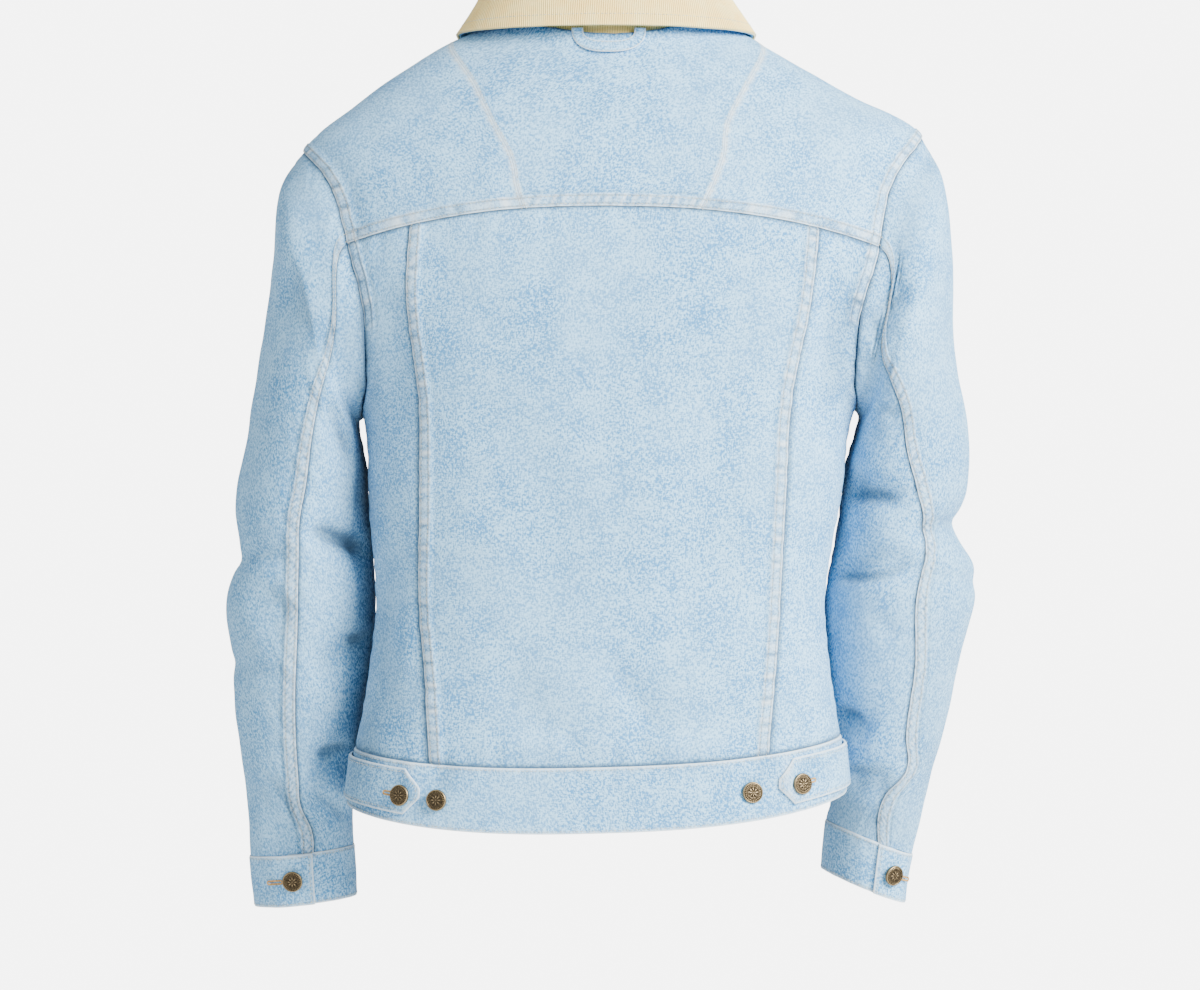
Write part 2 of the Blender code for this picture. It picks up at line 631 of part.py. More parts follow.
class Collar(Form):
    """The turned-down collar. a is a share from its right end to its left one, b runs over it."""

    part = "collar"
    turn = -1

    def __init__(self):
        self.names = [row.name for row in COLLAR_ROWS]
        self.columns = np.array([row[1:] for row in COLLAR_ROWS])
        steps = np.linalg.norm(np.diff(self.columns[:, [1, 3]], axis=0), axis=1)
        self.knots = np.concatenate([[0.0], np.cumsum(steps)])
        self.top = self.knots[-1]

    def height(self, name):
        return self.knots[self.names.index(name)]

    def bare(self, a, b):
        a, b = np.broadcast_arrays(np.asarray(a, float), np.asarray(b, float))
        row = np.moveaxis(through(self.knots, self.columns, b), -1, 0)
        half_width, back, front, z_back, z_side, z_front, end_angle, shift = row
        angle = np.radians(end_angle) * a
        x, y, reach = oval(angle, half_width, back, front, 2.0)
        z = z_side + (np.where(np.cos(angle) >= 0, z_back, z_front) - z_side) * reach
        return np.stack([x + shift, y, z], axis=-1)


# ---------------------------------------------------------------- panels and walls


def spread(length, count, first=(), last=()):
    """Distances from one edge to the other: count even steps, with the given ones near the edges."""
    start = first[-1] if first else 0.0
    end = length - (last[-1] if last else 0.0)
    even = [start + (end - start) * k / count for k in range(count + 1)]
    before = [0.0] + list(first[:-1]) if first else []
    after = [length - d for d in reversed(last[:-1])] + [length] if last else []
    return np.array(before + even + after)


def along_row(form, a, b, columns_of):
    """Places at the wanted distances along a finely sampled line of the form."""
    points = form.bare(a, b)
    run = np.concatenate([[0.0], np.cumsum(np.linalg.norm(np.diff(points, axis=0), axis=1))])
    wanted = SEAM_GAP / 2 + columns_of(run[-1] - SEAM_GAP)
    return np.interp(wanted, run, a), np.interp(wanted, run, b)


def panel_grid(form, bottom, top, left, right, columns_of, top_reach=1.0):
    """Parameter pairs of a grid over a four-sided region of the form.

    left and right are the pairs at the two ends of every row, from the bottom row to the top one.
    bottom and top give a pair for a share from left to right. columns_of gives the distances of the
    columns across a row from its length and its share up the panel. The columns stop half a seam gap
    short of both ends. A larger top_reach keeps the bends of the top edge close to it.
    """
    fine = np.linspace(0.0, 1.0, 97)
    s = fine[:, None]
    low = np.array([bottom(share) for share in fine])
    high = np.array([top(share) for share in fine])
    grid_a, grid_b = [], []
    for t, start, end in zip(np.linspace(0.0, 1.0, len(left)), left, right):
        from_low = low - (1 - s) * low[0] - s * low[-1]
        from_high = high - (1 - s) * high[0] - s * high[-1]
        line = (1 - s) * start + s * end + (1 - t) * from_low + t**top_reach * from_high
        a, b = along_row(form, line[:, 0], line[:, 1], lambda length, t=t: columns_of(length, t))
        grid_a.append(a)
        grid_b.append(b)
    return np.array(grid_a), np.array(grid_b)


def lap(count, first=False, last=False):
    """Rise of each of count rows or columns, with a felled band along the first or the last edge."""
    rise = np.zeros(count)
    if first:
        rise[:2] = LAP_RISE
    if last:
        rise[-2:] = LAP_RISE
    return rise


LAP_MARKS = (LAP_WIDTH, LAP_WIDTH + LAP_STEP)


def closed_wall(name, inner, outer, material):
    """A solid between two grids of points: a flat grid, extruded once, then each side is placed."""
    rows, columns = inner.shape[:2]
    mesh_data = bmesh.new()
    spot = mesh_data.verts.layers.int.new("spot")
    bmesh.ops.create_grid(mesh_data, x_segments=columns - 1, y_segments=rows - 1, size=1.0)
    for vert in mesh_data.verts:
        column = round((vert.co.x + 1) / 2 * (columns - 1))
        row = round((vert.co.y + 1) / 2 * (rows - 1))
        vert[spot] = row * columns + column
    below = list(mesh_data.verts)
    made = bmesh.ops.extrude_face_region(mesh_data, geom=mesh_data.faces[:])
    above = [item for item in made["geom"] if isinstance(item, bmesh.types.BMVert)]
    for verts, points in ((below, inner.reshape(-1, 3)), (above, outer.reshape(-1, 3))):
        for vert in verts:
            vert.co = points[vert[spot]]
    bmesh.ops.recalc_face_normals(mesh_data, faces=mesh_data.faces[:])
    if mesh_data.calc_volume(signed=True) < 0:
        bmesh.ops.reverse_faces(mesh_data, faces=mesh_data.faces[:])
    return add_object(name, mesh_data, material)


def add_object(name, mesh_data, material):
    mesh = bpy.data.meshes.new(name)
    mesh_data.to_mesh(mesh)
    mesh_data.free()
    mesh.shade_smooth()
    mesh.set_sharp_from_angle(angle=math.radians(35))
    mesh.materials.append(material)
    piece = bpy.data.objects.new(name, mesh)
    jacket.objects.link(piece)
    return piece


def cloth(name, form, grid_a, grid_b, rise=0.0, wall=DENIM, material=None, inner=0.0):
    """A wall of cloth on a form. Its outer face is raised by rise, its inner face is wall below inner."""
    outer_points = form.place(grid_a, grid_b, rise)
    inner_points = form.place(grid_a, grid_b, inner - wall)
    return closed_wall(name, inner_points, outer_points, material)


# ---------------------------------------------------------------- materials


def finish(name, colour, roughness, metallic=0.0):
    material = bpy.data.materials.new(name)
    material.use_nodes = True
    shader = material.node_tree.nodes["Principled BSDF"]
    shader.inputs["Base Color"].default_value = (*colour, 1.0)
    shader.inputs["Roughness"].default_value = roughness
    shader.inputs["Metallic"].default_value = metallic
    return material


# ---------------------------------------------------------------- body panels


def back_seam_rows(torso, side):
    """The seam between the back and its side panel, as one parameter pair for each row."""
    heights = np.array([torso.height(p.ring) for p in BACK_SEAM])
    xs = np.array([p.left if side == LEFT else -p.right for p in BACK_SEAM])
    b = np.linspace(heights[0] + SEAM_GAP / 2, heights[-1] - SEAM_GAP / 2, BACK_ROWS + 1)
    return np.stack([torso.angle_at_x(through(heights, xs, b), b), b], axis=-1)


def shoulder_line(torso, armhole, side):
    """Ends of the shoulder seam as parameter pairs: at the neck and at the armhole."""
    neck = np.array([side * math.radians(SHOULDER_SEAM_ANGLE), torso.height("neck") - SEAM_GAP / 2])
    return neck, armhole.at_length(armhole.lengths["front_high"])


def yoke_seam_rows(torso, armhole, side):
    """The slanting yoke seam, from the bottom of the yoke over the ridge to the shoulder seam."""
    seen = [(p.x_left, p.z_left) if side == LEFT else (-p.x_right, p.z_right) for p in YOKE_SEAM]
    pairs = [torso.seen_at(x, z) for x, z in seen]
    neck, tip = shoulder_line(torso, armhole, side)
    pairs = np.array(pairs + [neck + (tip - neck) * YOKE_SEAM_END])
    pairs[0, 1] = torso.height("yoke") + SEAM_GAP / 2
    knots = np.concatenate([[0.0], np.cumsum(np.linalg.norm(np.diff(torso.bare(*pairs.T), axis=0), axis=1))])
    line = through(knots, pairs, np.linspace(0.0, knots[-1], 61))
    run = np.concatenate([[0.0], np.cumsum(np.linalg.norm(np.diff(torso.bare(*line.T), axis=0), axis=1))])
    at = spread(run[-1], YOKE_ROWS, LAP_MARKS)
    rows = np.stack([np.interp(at, run, line[:, k]) for k in (0, 1)], axis=-1)
    rows[-1, 0] -= side * SHOULDER_GAP / 2
    return rows


def side_seam_rows(torso, side):
    """The seam between side panel and front, from the waistband to the armpit."""
    low, high = torso.height("band") + SEAM_GAP / 2, torso.height("armpit")
    b = np.linspace(low, high, BACK_ROWS - SIDE_ARMHOLE_ROWS + 1)
    return np.stack([np.full(len(b), side * math.radians(ARMPIT_ANGLE)), b], axis=-1)


def between(start, end):
    """Straight line between two parameter pairs, by a share from 0 to 1."""
    return lambda s: start + (end - start) * s


def make_back(torso, denim):
    """The wide middle panel, which laps over both side panels."""
    left, right = back_seam_rows(torso, RIGHT), back_seam_rows(torso, LEFT)
    a, b = panel_grid(
        torso,
        bottom=between(left[0], right[0]),
        top=between(left[-1], right[-1]),
        left=left,
        right=right,
        columns_of=lambda length, t: spread(length, 11, LAP_MARKS, LAP_MARKS),
    )
    rise = np.tile(lap(a.shape[1], first=True, last=True), (a.shape[0], 1))
    cloth("back_center", torso, a, b, rise, material=denim)


def armhole_band(shape):
    """Rise of a body panel's grid: a felled band along the armhole, flat where the sleeve meets the side."""
    rise = np.tile(lap(shape[1], last=True), (shape[0], 1))
    rise[: BACK_ROWS - SIDE_ARMHOLE_ROWS + 4] = 0.0
    return rise


def make_side_panels(torso, armholes, denim):
    """The narrow back panels between the back seam, the side seam and the armhole."""
    for side in (LEFT, RIGHT):
        seam = back_seam_rows(torso, side)
        along_armhole = armholes[side].at_length(armholes[side].side_marks())
        edge = np.vstack([side_seam_rows(torso, side), along_armhole[1:]])
        edge[-1, 1] -= SEAM_GAP / 2
        a, b = panel_grid(
            torso,
            bottom=between(seam[0], edge[0]),
            top=between(seam[-1], edge[-1]),
            left=seam,
            right=edge,
            columns_of=lambda length, t: spread(length, 4, (), LAP_MARKS),
        )
        cloth("back_side_" + SIDE_NAME[side], torso, a, b, armhole_band(a.shape), material=denim)


def polyline(*corners):
    """A function that runs through the corners. The shares of the corners are given with them."""
    places = np.array([share for share, _ in corners])
    pairs = np.array([pair for _, pair in corners])
    return lambda s: np.array([np.interp(s, places, pairs[:, k]) for k in (0, 1)])


def eased_columns(torso, line, counts, first=(), last=()):
    """Distances of columns that are even low on a panel and meet the corners of its top edge.

    line is the top edge, with its corners at known shares, and counts are the columns between them.
    """
    fine = np.linspace(0.0, 1.0, 241)
    pairs = np.array([line(s) for s in fine])
    run = np.concatenate([[0.0], np.cumsum(np.linalg.norm(np.diff(torso.bare(*pairs.T), axis=0), axis=1))])
    marks = [0.0]
    for index, (count, share) in enumerate(counts):
        start, end = marks[-1], float(np.interp(share, fine, run))
        ends = (first if index == 0 else (), last if index == len(counts) - 1 else ())
        marks += list(start + spread(end - start, count, *ends)[1:])
    marks = np.array(marks)
    total = len(marks) - 1

    def columns_of(length, t):
        weight = ease(0.45, 0.97, t)
        low = spread(length, total - len(first) - len(last), first, last)
        start = first[-1] if first else 0.0
        end = last[-1] if last else 0.0
        high = start + (marks - start) * (length - start - end) / (marks[-1] - start - end)
        high[: len(first) + 1] = low[: len(first) + 1]
        high[total - len(last) :] = low[total - len(last) :]
        return (1 - weight) * low + weight * high

    return columns_of


def make_yoke(torso, armholes, denim):
    """The yoke in three pieces, whose bottom band laps over the back and the side panels."""
    seams = {side: yoke_seam_rows(torso, armholes[side], side) for side in (LEFT, RIGHT)}
    left, right = seams[RIGHT], seams[LEFT]
    neck = {side: shoulder_line(torso, armholes[side], side)[0] for side in (LEFT, RIGHT)}
    for side in (LEFT, RIGHT):
        neck[side] = neck[side] - np.array([side * SHOULDER_GAP / 2, 0.0])
    top = polyline((0.0, left[-1]), (0.15, neck[RIGHT]), (0.85, neck[LEFT]), (1.0, right[-1]))
    counts = ((SHOULDER_COLUMNS, 0.15), (11, 0.85), (SHOULDER_COLUMNS, 1.0))
    columns_of = eased_columns(torso, top, counts)
    a, b = panel_grid(torso, between(left[0], right[0]), top, left, right, columns_of)
    rows = np.tile(lap(a.shape[0], first=True)[:, None], (1, a.shape[1]))
    cloth("yoke_center", torso, a, b, rows, material=denim)
    for side in (LEFT, RIGHT):
        seam = seams[side]
        edge = armholes[side].at_length(armholes[side].yoke_marks())
        edge[0, 1] += SEAM_GAP / 2
        edge[-1, 0] -= side * SHOULDER_GAP / 2
        a, b = panel_grid(
            torso,
            bottom=between(seam[0], edge[0]),
            top=between(seam[-1], edge[-1]),
            left=seam,
            right=edge,
            columns_of=lambda length, t: spread(length, YOKE_SIDE_COLUMNS, (), LAP_MARKS),
        )
        rows = np.tile(lap(a.shape[0], first=True)[:, None], (1, a.shape[1]))
        columns = np.tile(lap(a.shape[1], last=True), (a.shape[0], 1))
        cloth("yoke_side_" + SIDE_NAME[side], torso, a, b, np.maximum(rows, columns), material=denim)


def make_fronts(torso, armholes, denim):
    """Plain front panels, and the button strip made from the first columns of the left one.

    Returns the heights of the strip's rows, on which its buttons stand.
    """
    for side in (RIGHT, LEFT):
        armhole = armholes[side]
        edge = np.vstack([side_seam_rows(torso, side), armhole.at_length(armhole.front_marks())[1:]])
        edge[-1, 0] += side * SHOULDER_GAP / 2
        opening = front_opening(torso, edge, side)
        neck, _ = shoulder_line(torso, armhole, side)
        neck = neck + np.array([side * SHOULDER_GAP / 2, 0.0])
        seam_end = neck + (edge[-1] - neck) * YOKE_SEAM_END
        upper = polyline((0.0, opening[-1]), (0.35, neck), (0.55, seam_end), (1.0, edge[-1]))
        counts = ((NECK_COLUMNS, 0.35), (SHOULDER_COLUMNS, 0.55), (YOKE_SIDE_COLUMNS, 1.0))
        columns_of = eased_columns(torso, upper, counts, PLACKET_MARKS, LAP_MARKS)
        a, b = panel_grid(torso, between(opening[0], edge[0]), upper, opening, edge, columns_of, 3.0)
        cloth("front_" + SIDE_NAME[side], torso, a, b, armhole_band(a.shape), material=denim)
    columns = len(PLACKET_MARKS) + 1
    rise = PLACKET_WALL + SEAM_GAP
    cloth("front_placket", torso, a[:, :columns], b[:, :columns], rise, 0.0, denim, inner=SEAM_GAP)
    return b[:, columns // 2]


def front_opening(torso, edge, side):
    """The front edge of a front panel: one pair for each row, level with the side low down."""
    neck = torso.height("neck") - SEAM_GAP / 2
    level = BACK_ROWS - SIDE_ARMHOLE_ROWS + FRONT_LEVEL_ROWS
    index = np.arange(len(edge))
    share = np.clip((index - level) / (len(edge) - 1 - level), 0.0, 1.0)
    b = edge[:, 1] + (neck - edge[-1, 1]) * share
    turned = 2 * math.pi if side == LEFT else 0.0
    middle = torso.angle_at_x(np.full(len(b), FRONT_EDGE_X), b, "front") + turned
    return np.stack([middle, b], axis=-1)


def waistband_marks():
    """Angles of the waistband's columns. Those of its lapped ends stand over each other."""
    under_end, over_end = -WAISTBAND_UNDER_ANGLE, WAISTBAND_OVER_ANGLE
    shared = np.linspace(360.0 - under_end, over_end, 3)
    around = np.linspace(over_end - 360.0, 360.0 - under_end, 52)
    return np.concatenate([shared[:-1] - 360.0, around, shared[1:]])


def make_waistband(torso, denim):
    """A double band round the hem, whose left end laps over its right end at the front."""
    low, high = torso.height("hem"), torso.height("band") - SEAM_GAP
    a, b = np.meshgrid(np.radians(waistband_marks()), np.linspace(low, high, 3))
    lift = (BAND_WALL + SEAM_GAP) * ease(WAISTBAND_RISE_ANGLE, WAISTBAND_RISE_ANGLE + 7.0, np.degrees(a))
    cloth("waistband", torso, a, b, LAP_RISE + lift, BAND_WALL - LAP_RISE, denim, inner=lift)


def make_tabs(torso, denim):
    """Pointed tabs from each side seam towards the back, buttoned to the waistband."""
    low, high = torso.height("hem"), torso.height("band")
    middle = low + TAB_MIDDLE * (high - low)
    for side in (LEFT, RIGHT):
        tip = abs(math.degrees(float(torso.angle_at_x(side * TAB_TIP_X[side], middle))))
        corner = abs(math.degrees(float(torso.angle_at_x(side * (TAB_TIP_X[side] + TAB_TIP_LENGTH), middle))))
        below = [abs(mark) for mark in waistband_marks() if corner + 1 < side * mark < TAB_ROOT_ANGLE - 1]
        degrees = np.array(sorted(below + [tip, corner, TAB_ROOT_ANGLE]))
        half = np.interp(degrees, [tip, corner], [TAB_TIP_HEIGHT, TAB_HEIGHT]) / 2
        across = np.linspace(-1.0, 1.0, 3)[:, None]
        a = np.tile(np.radians(side * degrees), (3, 1))
        b = middle + across * half
        slack = TAB_SLACK * np.exp(-(((degrees - TAB_SLACK_ANGLE) / 6.5) ** 2)) * np.ones((3, 1))
        seat = LAP_RISE + SEAM_GAP + slack
        cloth("waist_tab_" + SIDE_NAME[side], torso, a, b, seat + TAB_WALL, 0.0, denim, inner=seat)


# ---------------------------------------------------------------- sleeves


def sleeve_panel(sleeve, name, start_of, end_of, marks, first, denim):
    """One panel of a sleeve. At the armhole its columns stand at the marks of the body's rows."""
    high = sleeve.height("cuff_top")
    heights = np.linspace(0.0, high, SLEEVE_ROWS_OF_FACES + 1)
    heights[0], heights[-1] = ARMHOLE_GAP, high - SEAM_GAP
    fine = np.linspace(0.0, 1.0, 73)
    share = (marks - marks[0]) / (marks[-1] - marks[0])
    even = len(marks) - 1 - len(first)
    grid_a, grid_b = [], []
    for b in heights:
        start, end = start_of(b), end_of(b)
        line = start + (end - start) * fine
        a, _ = along_row(sleeve, line, np.full(len(fine), b), lambda length: spread(length, even, first))
        near = np.clip(start + (end - start) * share, min(a[0], a[-1]), max(a[0], a[-1]))
        weight = ease(0.0, SLEEVE_BLEND, b)
        grid_a.append((1 - weight) * near + weight * a)
        grid_b.append(np.full(len(a), b))
    grid_a, grid_b = np.array(grid_a), np.array(grid_b)
    rise = np.tile(lap(grid_a.shape[1], first=bool(first)), (len(heights), 1))
    rise[0] = 0.0
    cloth(name, sleeve, grid_a, grid_b, rise, material=denim)


def make_sleeves(sleeves, denim):
    """Each sleeve is an upper panel, which laps over the under panel at the back seam."""
    for side, sleeve in sleeves.items():
        hole = sleeve.armhole
        front = hole.front_marks()[::-1] - hole.run[-1]
        over = hole.to_degrees(np.concatenate([hole.yoke_marks(), front[1:]]))
        under = hole.to_degrees(hole.side_marks()[::-1])

        def front_seam(b, sleeve=sleeve):
            return sleeve.under_seam(b) - 360.0

        upper_name, under_name = "sleeve_upper_" + SIDE_NAME[side], "sleeve_under_" + SIDE_NAME[side]
        sleeve_panel(sleeve, upper_name, sleeve.back_seam, front_seam, over, LAP_MARKS, denim)
        sleeve_panel(sleeve, under_name, sleeve.back_seam, sleeve.under_seam, under, (), denim)


def make_cuffs(sleeves, denim):
    """A double band whose flap laps over its other end at the back and is buttoned there."""
    for side, sleeve in sleeves.items():
        low, high = sleeve.height("cuff_top"), sleeve.height("cuff_end")
        flap = CUFF_FLAP_ANGLE[side]
        shared = np.linspace(0.0, CUFF_OVERLAP, 3)
        marks = flap - np.concatenate([shared[:-1], np.linspace(CUFF_OVERLAP, 360.0, 24), 360.0 + shared[1:]])
        a, b = np.meshgrid(marks, np.linspace(low, high, 3))
        lift = (BAND_WALL + SEAM_GAP) * (1 - ease(CUFF_OVERLAP + 8, CUFF_OVERLAP + 36, flap - a))
        cloth("cuff_" + SIDE_NAME[side], sleeve, a, b, LAP_RISE + lift, BAND_WALL - LAP_RISE, denim, inner=lift)


# ---------------------------------------------------------------- collar and loop


def make_collar(collar, corduroy, denim):
    """A corduroy top collar from the neck seam over the roll, and a denim layer below its fall."""
    columns, rows = np.linspace(-1.0, 1.0, 33), np.linspace(0.0, collar.top, 11)
    a, b = np.meshgrid(columns, rows)
    cloth("collar_top", collar, a, b, 0.0, CORDUROY, corduroy)
    columns[0], columns[-1] = -COLLAR_UNDER_END, COLLAR_UNDER_END
    rows[-1] -= COLLAR_UNDER_EDGE
    a, b = np.meshgrid(columns, rows[COLLAR_UNDER_ROW:])
    below = -CORDUROY - SEAM_GAP
    cloth("collar_under", collar, a, b, below, DENIM, denim, inner=below)


def make_hanger_loop(torso, denim):
    """A folded strip sewn in at the back neck, which hangs in a shallow U below the collar."""
    fine = np.radians(np.linspace(-90.0, 90.0, 181))
    power = 2 / LOOP_SQUARE
    x = LOOP_MIDDLE_X + LOOP_HALF_SPAN * np.sign(fine) * np.abs(np.sin(fine)) ** power
    z = LOOP_TOP - LOOP_DROP * np.abs(np.cos(fine)) ** power
    run = np.concatenate([[0.0], np.cumsum(np.hypot(np.diff(x), np.diff(z)))])
    at = np.linspace(0.0, run[-1], 17)
    path = np.stack([np.interp(at, run, x), np.interp(at, run, z)], axis=-1)
    slope = np.gradient(path, axis=0)
    normal = unit(np.stack([-slope[:, 1], slope[:, 0]], axis=-1))
    slack = LOOP_SLACK * (np.maximum(-path[:, 1], 0.0) / (LOOP_DROP - LOOP_TOP)) ** 2
    sides = []
    for layer in (LOOP_SEAT, LOOP_SEAT + LOOP_WALL):
        grid = []
        for half in (-0.5, 0.0, 0.5):
            place = path + normal * half * LOOP_WIDTH
            seat = [torso.place(*torso.seen_at(px, min(pz, 0.0)))[1] for px, pz in place]
            grid.append(np.stack([place[:, 0], np.array(seat) + slack + layer, place[:, 1]], axis=-1))
        sides.append(np.array(grid))
    closed_wall("hanger_loop", sides[0], sides[1], denim)


# ---------------------------------------------------------------- buttons


def button(name, form, a, b, seat, metal, lean=0.0):
    """A tack button: a turned cap on a short shank, standing on the cloth at (a, b)."""
    a, b = np.array([a]), np.array([b])
    foot = Vector(form.place(a, b, seat)[0])
    outward = Vector(form.bare_normal(a, b)[0])
    profile = [
        (0.0, SHANK_HEIGHT + BUTTON_HEIGHT),
        (BUTTON_RADIUS * 0.55, SHANK_HEIGHT + BUTTON_HEIGHT * 0.93),
        (BUTTON_RADIUS * 0.93, SHANK_HEIGHT + BUTTON_HEIGHT * 0.70),
        (BUTTON_RADIUS, SHANK_HEIGHT + BUTTON_HEIGHT * 0.35),
        (BUTTON_RADIUS * 0.93, SHANK_HEIGHT),
        (SHANK_RADIUS, SHANK_HEIGHT),
        (SHANK_RADIUS, 0.0),
        (0.0, 0.0),
    ]
    mesh = bpy.data.meshes.new(name)
    points = [(r, 0.0, z) for r, z in profile]
    mesh.from_pydata(points, [(i, i + 1) for i in range(len(points) - 1)], [])
    mesh.materials.append(metal)
    piece = bpy.data.objects.new(name, mesh)
    jacket.objects.link(piece)
    turn = piece.modifiers.new("Turn", "SCREW")
    turn.steps = turn.render_steps = 12
    turn.use_merge_vertices = True
    turn.merge_threshold = 0.00005
    turn.use_smooth_shade = True
    tilt = Matrix.Rotation(lean, 4, "Z")
    facing = outward.to_track_quat("Z", "Y").to_matrix().to_4x4()
    piece.matrix_world = Matrix.Translation(foot) @ tilt @ facing


def make_buttons(torso, sleeves, strip_rows, metal):
    low, high, neck = torso.height("hem"), torso.height("band"), torso.height("neck")
    middle = low + WAIST_BUTTON_HEIGHT * (high - low)
    for side in (LEFT, RIGHT):
        for name, x, seat in zip(("tab", "spare"), WAIST_BUTTON_X[side], (0.0, 0.0)):
            angle = float(torso.angle_at_x(side * x, middle))
            on_tab = TAB_WALL + SEAM_GAP if name == "tab" else 0.0
            piece = f"button_waist_{name}_{SIDE_NAME[side]}"
            button(piece, torso, angle, middle, LAP_RISE + SEAM_GAP + on_tab, metal)
        sleeve = sleeves[side]
        at = (sleeve.height("cuff_top") + sleeve.height("cuff_end")) / 2
        angle = CUFF_FLAP_ANGLE[side] - CUFF_BUTTON_BACK
        seat = LAP_RISE + BAND_WALL + 2 * SEAM_GAP
        button("button_cuff_" + SIDE_NAME[side], sleeve, angle, at, seat, metal)
    for k in range(FRONT_BUTTONS):
        wanted = high + (neck - high) * (0.10 + 0.86 * k / (FRONT_BUTTONS - 1))
        b = strip_rows[np.argmin(np.abs(strip_rows - wanted))]
        angle = float(torso.angle_at_x(FRONT_BUTTON_X, b, "front"))
        button(f"button_front_{k + 1}", torso, angle, b, PLACKET_WALL + 2 * SEAM_GAP, metal)
    angle = float(torso.angle_at_x(FRONT_BUTTON_X, middle, "front"))
    button("button_front_waist", torso, angle, middle, LAP_RISE + BAND_WALL + 2 * SEAM_GAP, metal)


# ---------------------------------------------------------------- build

for old in list(bpy.data.objects):
    bpy.data.objects.remove(old)
jacket = bpy.data.collections.new("denim_jacket")
bpy.context.scene.collection.children.link(jacket)


def main():
    denim = finish("light_denim", (0.46, 0.62, 0.76), 0.85)
    corduroy = finish("cream_corduroy", (0.83, 0.72, 0.50), 0.9)
    brass = finish("aged_brass", (0.28, 0.20, 0.11), 0.4, 0.9)
    torso = Torso()
    sleeves = {side: Sleeve(torso, side) for side in (LEFT, RIGHT)}
    armholes = {side: sleeves[side].armhole for side in sleeves}
    make_back(torso, denim)
    make_side_panels(torso, armholes, denim)
    make_yoke(torso, armholes, denim)
    strip_rows = make_fronts(torso, armholes, denim)
    make_waistband(torso, denim)
    make_tabs(torso, denim)
    make_sleeves(sleeves, denim)
    make_cuffs(sleeves, denim)
    make_collar(Collar(), corduroy, denim)
    make_hanger_loop(torso, denim)
    make_buttons(torso, sleeves, strip_rows, brass)


main()
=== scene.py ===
"""A light-blue denim jacket with a corduroy collar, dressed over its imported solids.

Every piece of cloth is built again on its solid's own form with fine rows and columns, felled
bands, creases and a finish. Rows of stitches, buttonholes and turned buttons follow.

Metres throughout. The wearer faces -Y, +X is the wearer's left and +Z is up. The origin is the
middle of the neck opening at the height of the back neck seam.
"""

import logging
import math
from dataclasses import dataclass, field
from enum import Enum
from typing import Any, Callable, NamedTuple, Sequence

import bmesh
import bpy
import numpy as np
from mathutils import Matrix, Vector, noise


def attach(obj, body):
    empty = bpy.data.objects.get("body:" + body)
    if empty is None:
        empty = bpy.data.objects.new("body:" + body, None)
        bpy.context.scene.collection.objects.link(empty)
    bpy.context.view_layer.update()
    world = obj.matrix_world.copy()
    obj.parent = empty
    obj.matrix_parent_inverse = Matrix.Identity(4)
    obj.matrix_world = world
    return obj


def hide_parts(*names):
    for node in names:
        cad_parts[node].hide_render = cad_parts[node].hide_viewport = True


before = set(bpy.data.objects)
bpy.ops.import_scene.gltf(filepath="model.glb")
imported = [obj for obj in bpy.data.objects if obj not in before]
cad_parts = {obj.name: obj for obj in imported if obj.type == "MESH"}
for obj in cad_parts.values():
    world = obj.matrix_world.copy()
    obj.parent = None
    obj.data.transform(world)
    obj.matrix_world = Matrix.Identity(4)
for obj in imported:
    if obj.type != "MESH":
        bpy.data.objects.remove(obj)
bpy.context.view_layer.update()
log = logging.getLogger("denim_jacket")

LEFT, RIGHT = 1, -1  # the wearer's sides, as signs of x
SIDE_NAME = {LEFT: "left", RIGHT: "right"}

DENIM = 0.0015
BAND_WALL = 0.0030
CORDUROY = 0.0020
SEAM_GAP = 0.0003
ARMHOLE_GAP = 0.0004
LAP_WIDTH = 0.0095
LAP_RISE = 0.0010
LAP_STEP = 0.0012
BUTTON_RADIUS = 0.0085
BUTTON_HEIGHT = 0.0030
SHANK_RADIUS = 0.0040
SHANK_HEIGHT = 0.0016
SLEEVE_BLEND = 0.080
BAND_MARKS = (0.0006, 0.0016, 0.0030, 0.0048, 0.0066, 0.0080, 0.0089, 0.0096, 0.0107)
EDGE_MARKS = (0.0006, 0.0014, 0.0026, 0.0042, 0.0060)
STITCH_ROWS = (0.0017, 0.0080)


class Grid(Enum):
    """Counts of rows and columns of the fine grids. Pieces that meet share them."""

    BACK = 119
    SIDE_ARMHOLE = 42
    FRONT_ARMHOLE = 70
    FRONT_LEVEL = 28
    YOKE = 49
    SLEEVE = 168
    NECK = 24
    SHOULDER = 12
    YOKE_SIDE = 22


# ------------------------------------------------------------------ tables of the cut


class TorsoRow(NamedTuple):
    """One level ring of the body: an oval with its own height at the back, side and front."""

    name: str
    z_back: float
    z_side: float
    z_front: float
    half_width: float
    y_mid: float
    back: float
    front: float
    square: float
    shift: float
    tilt: float


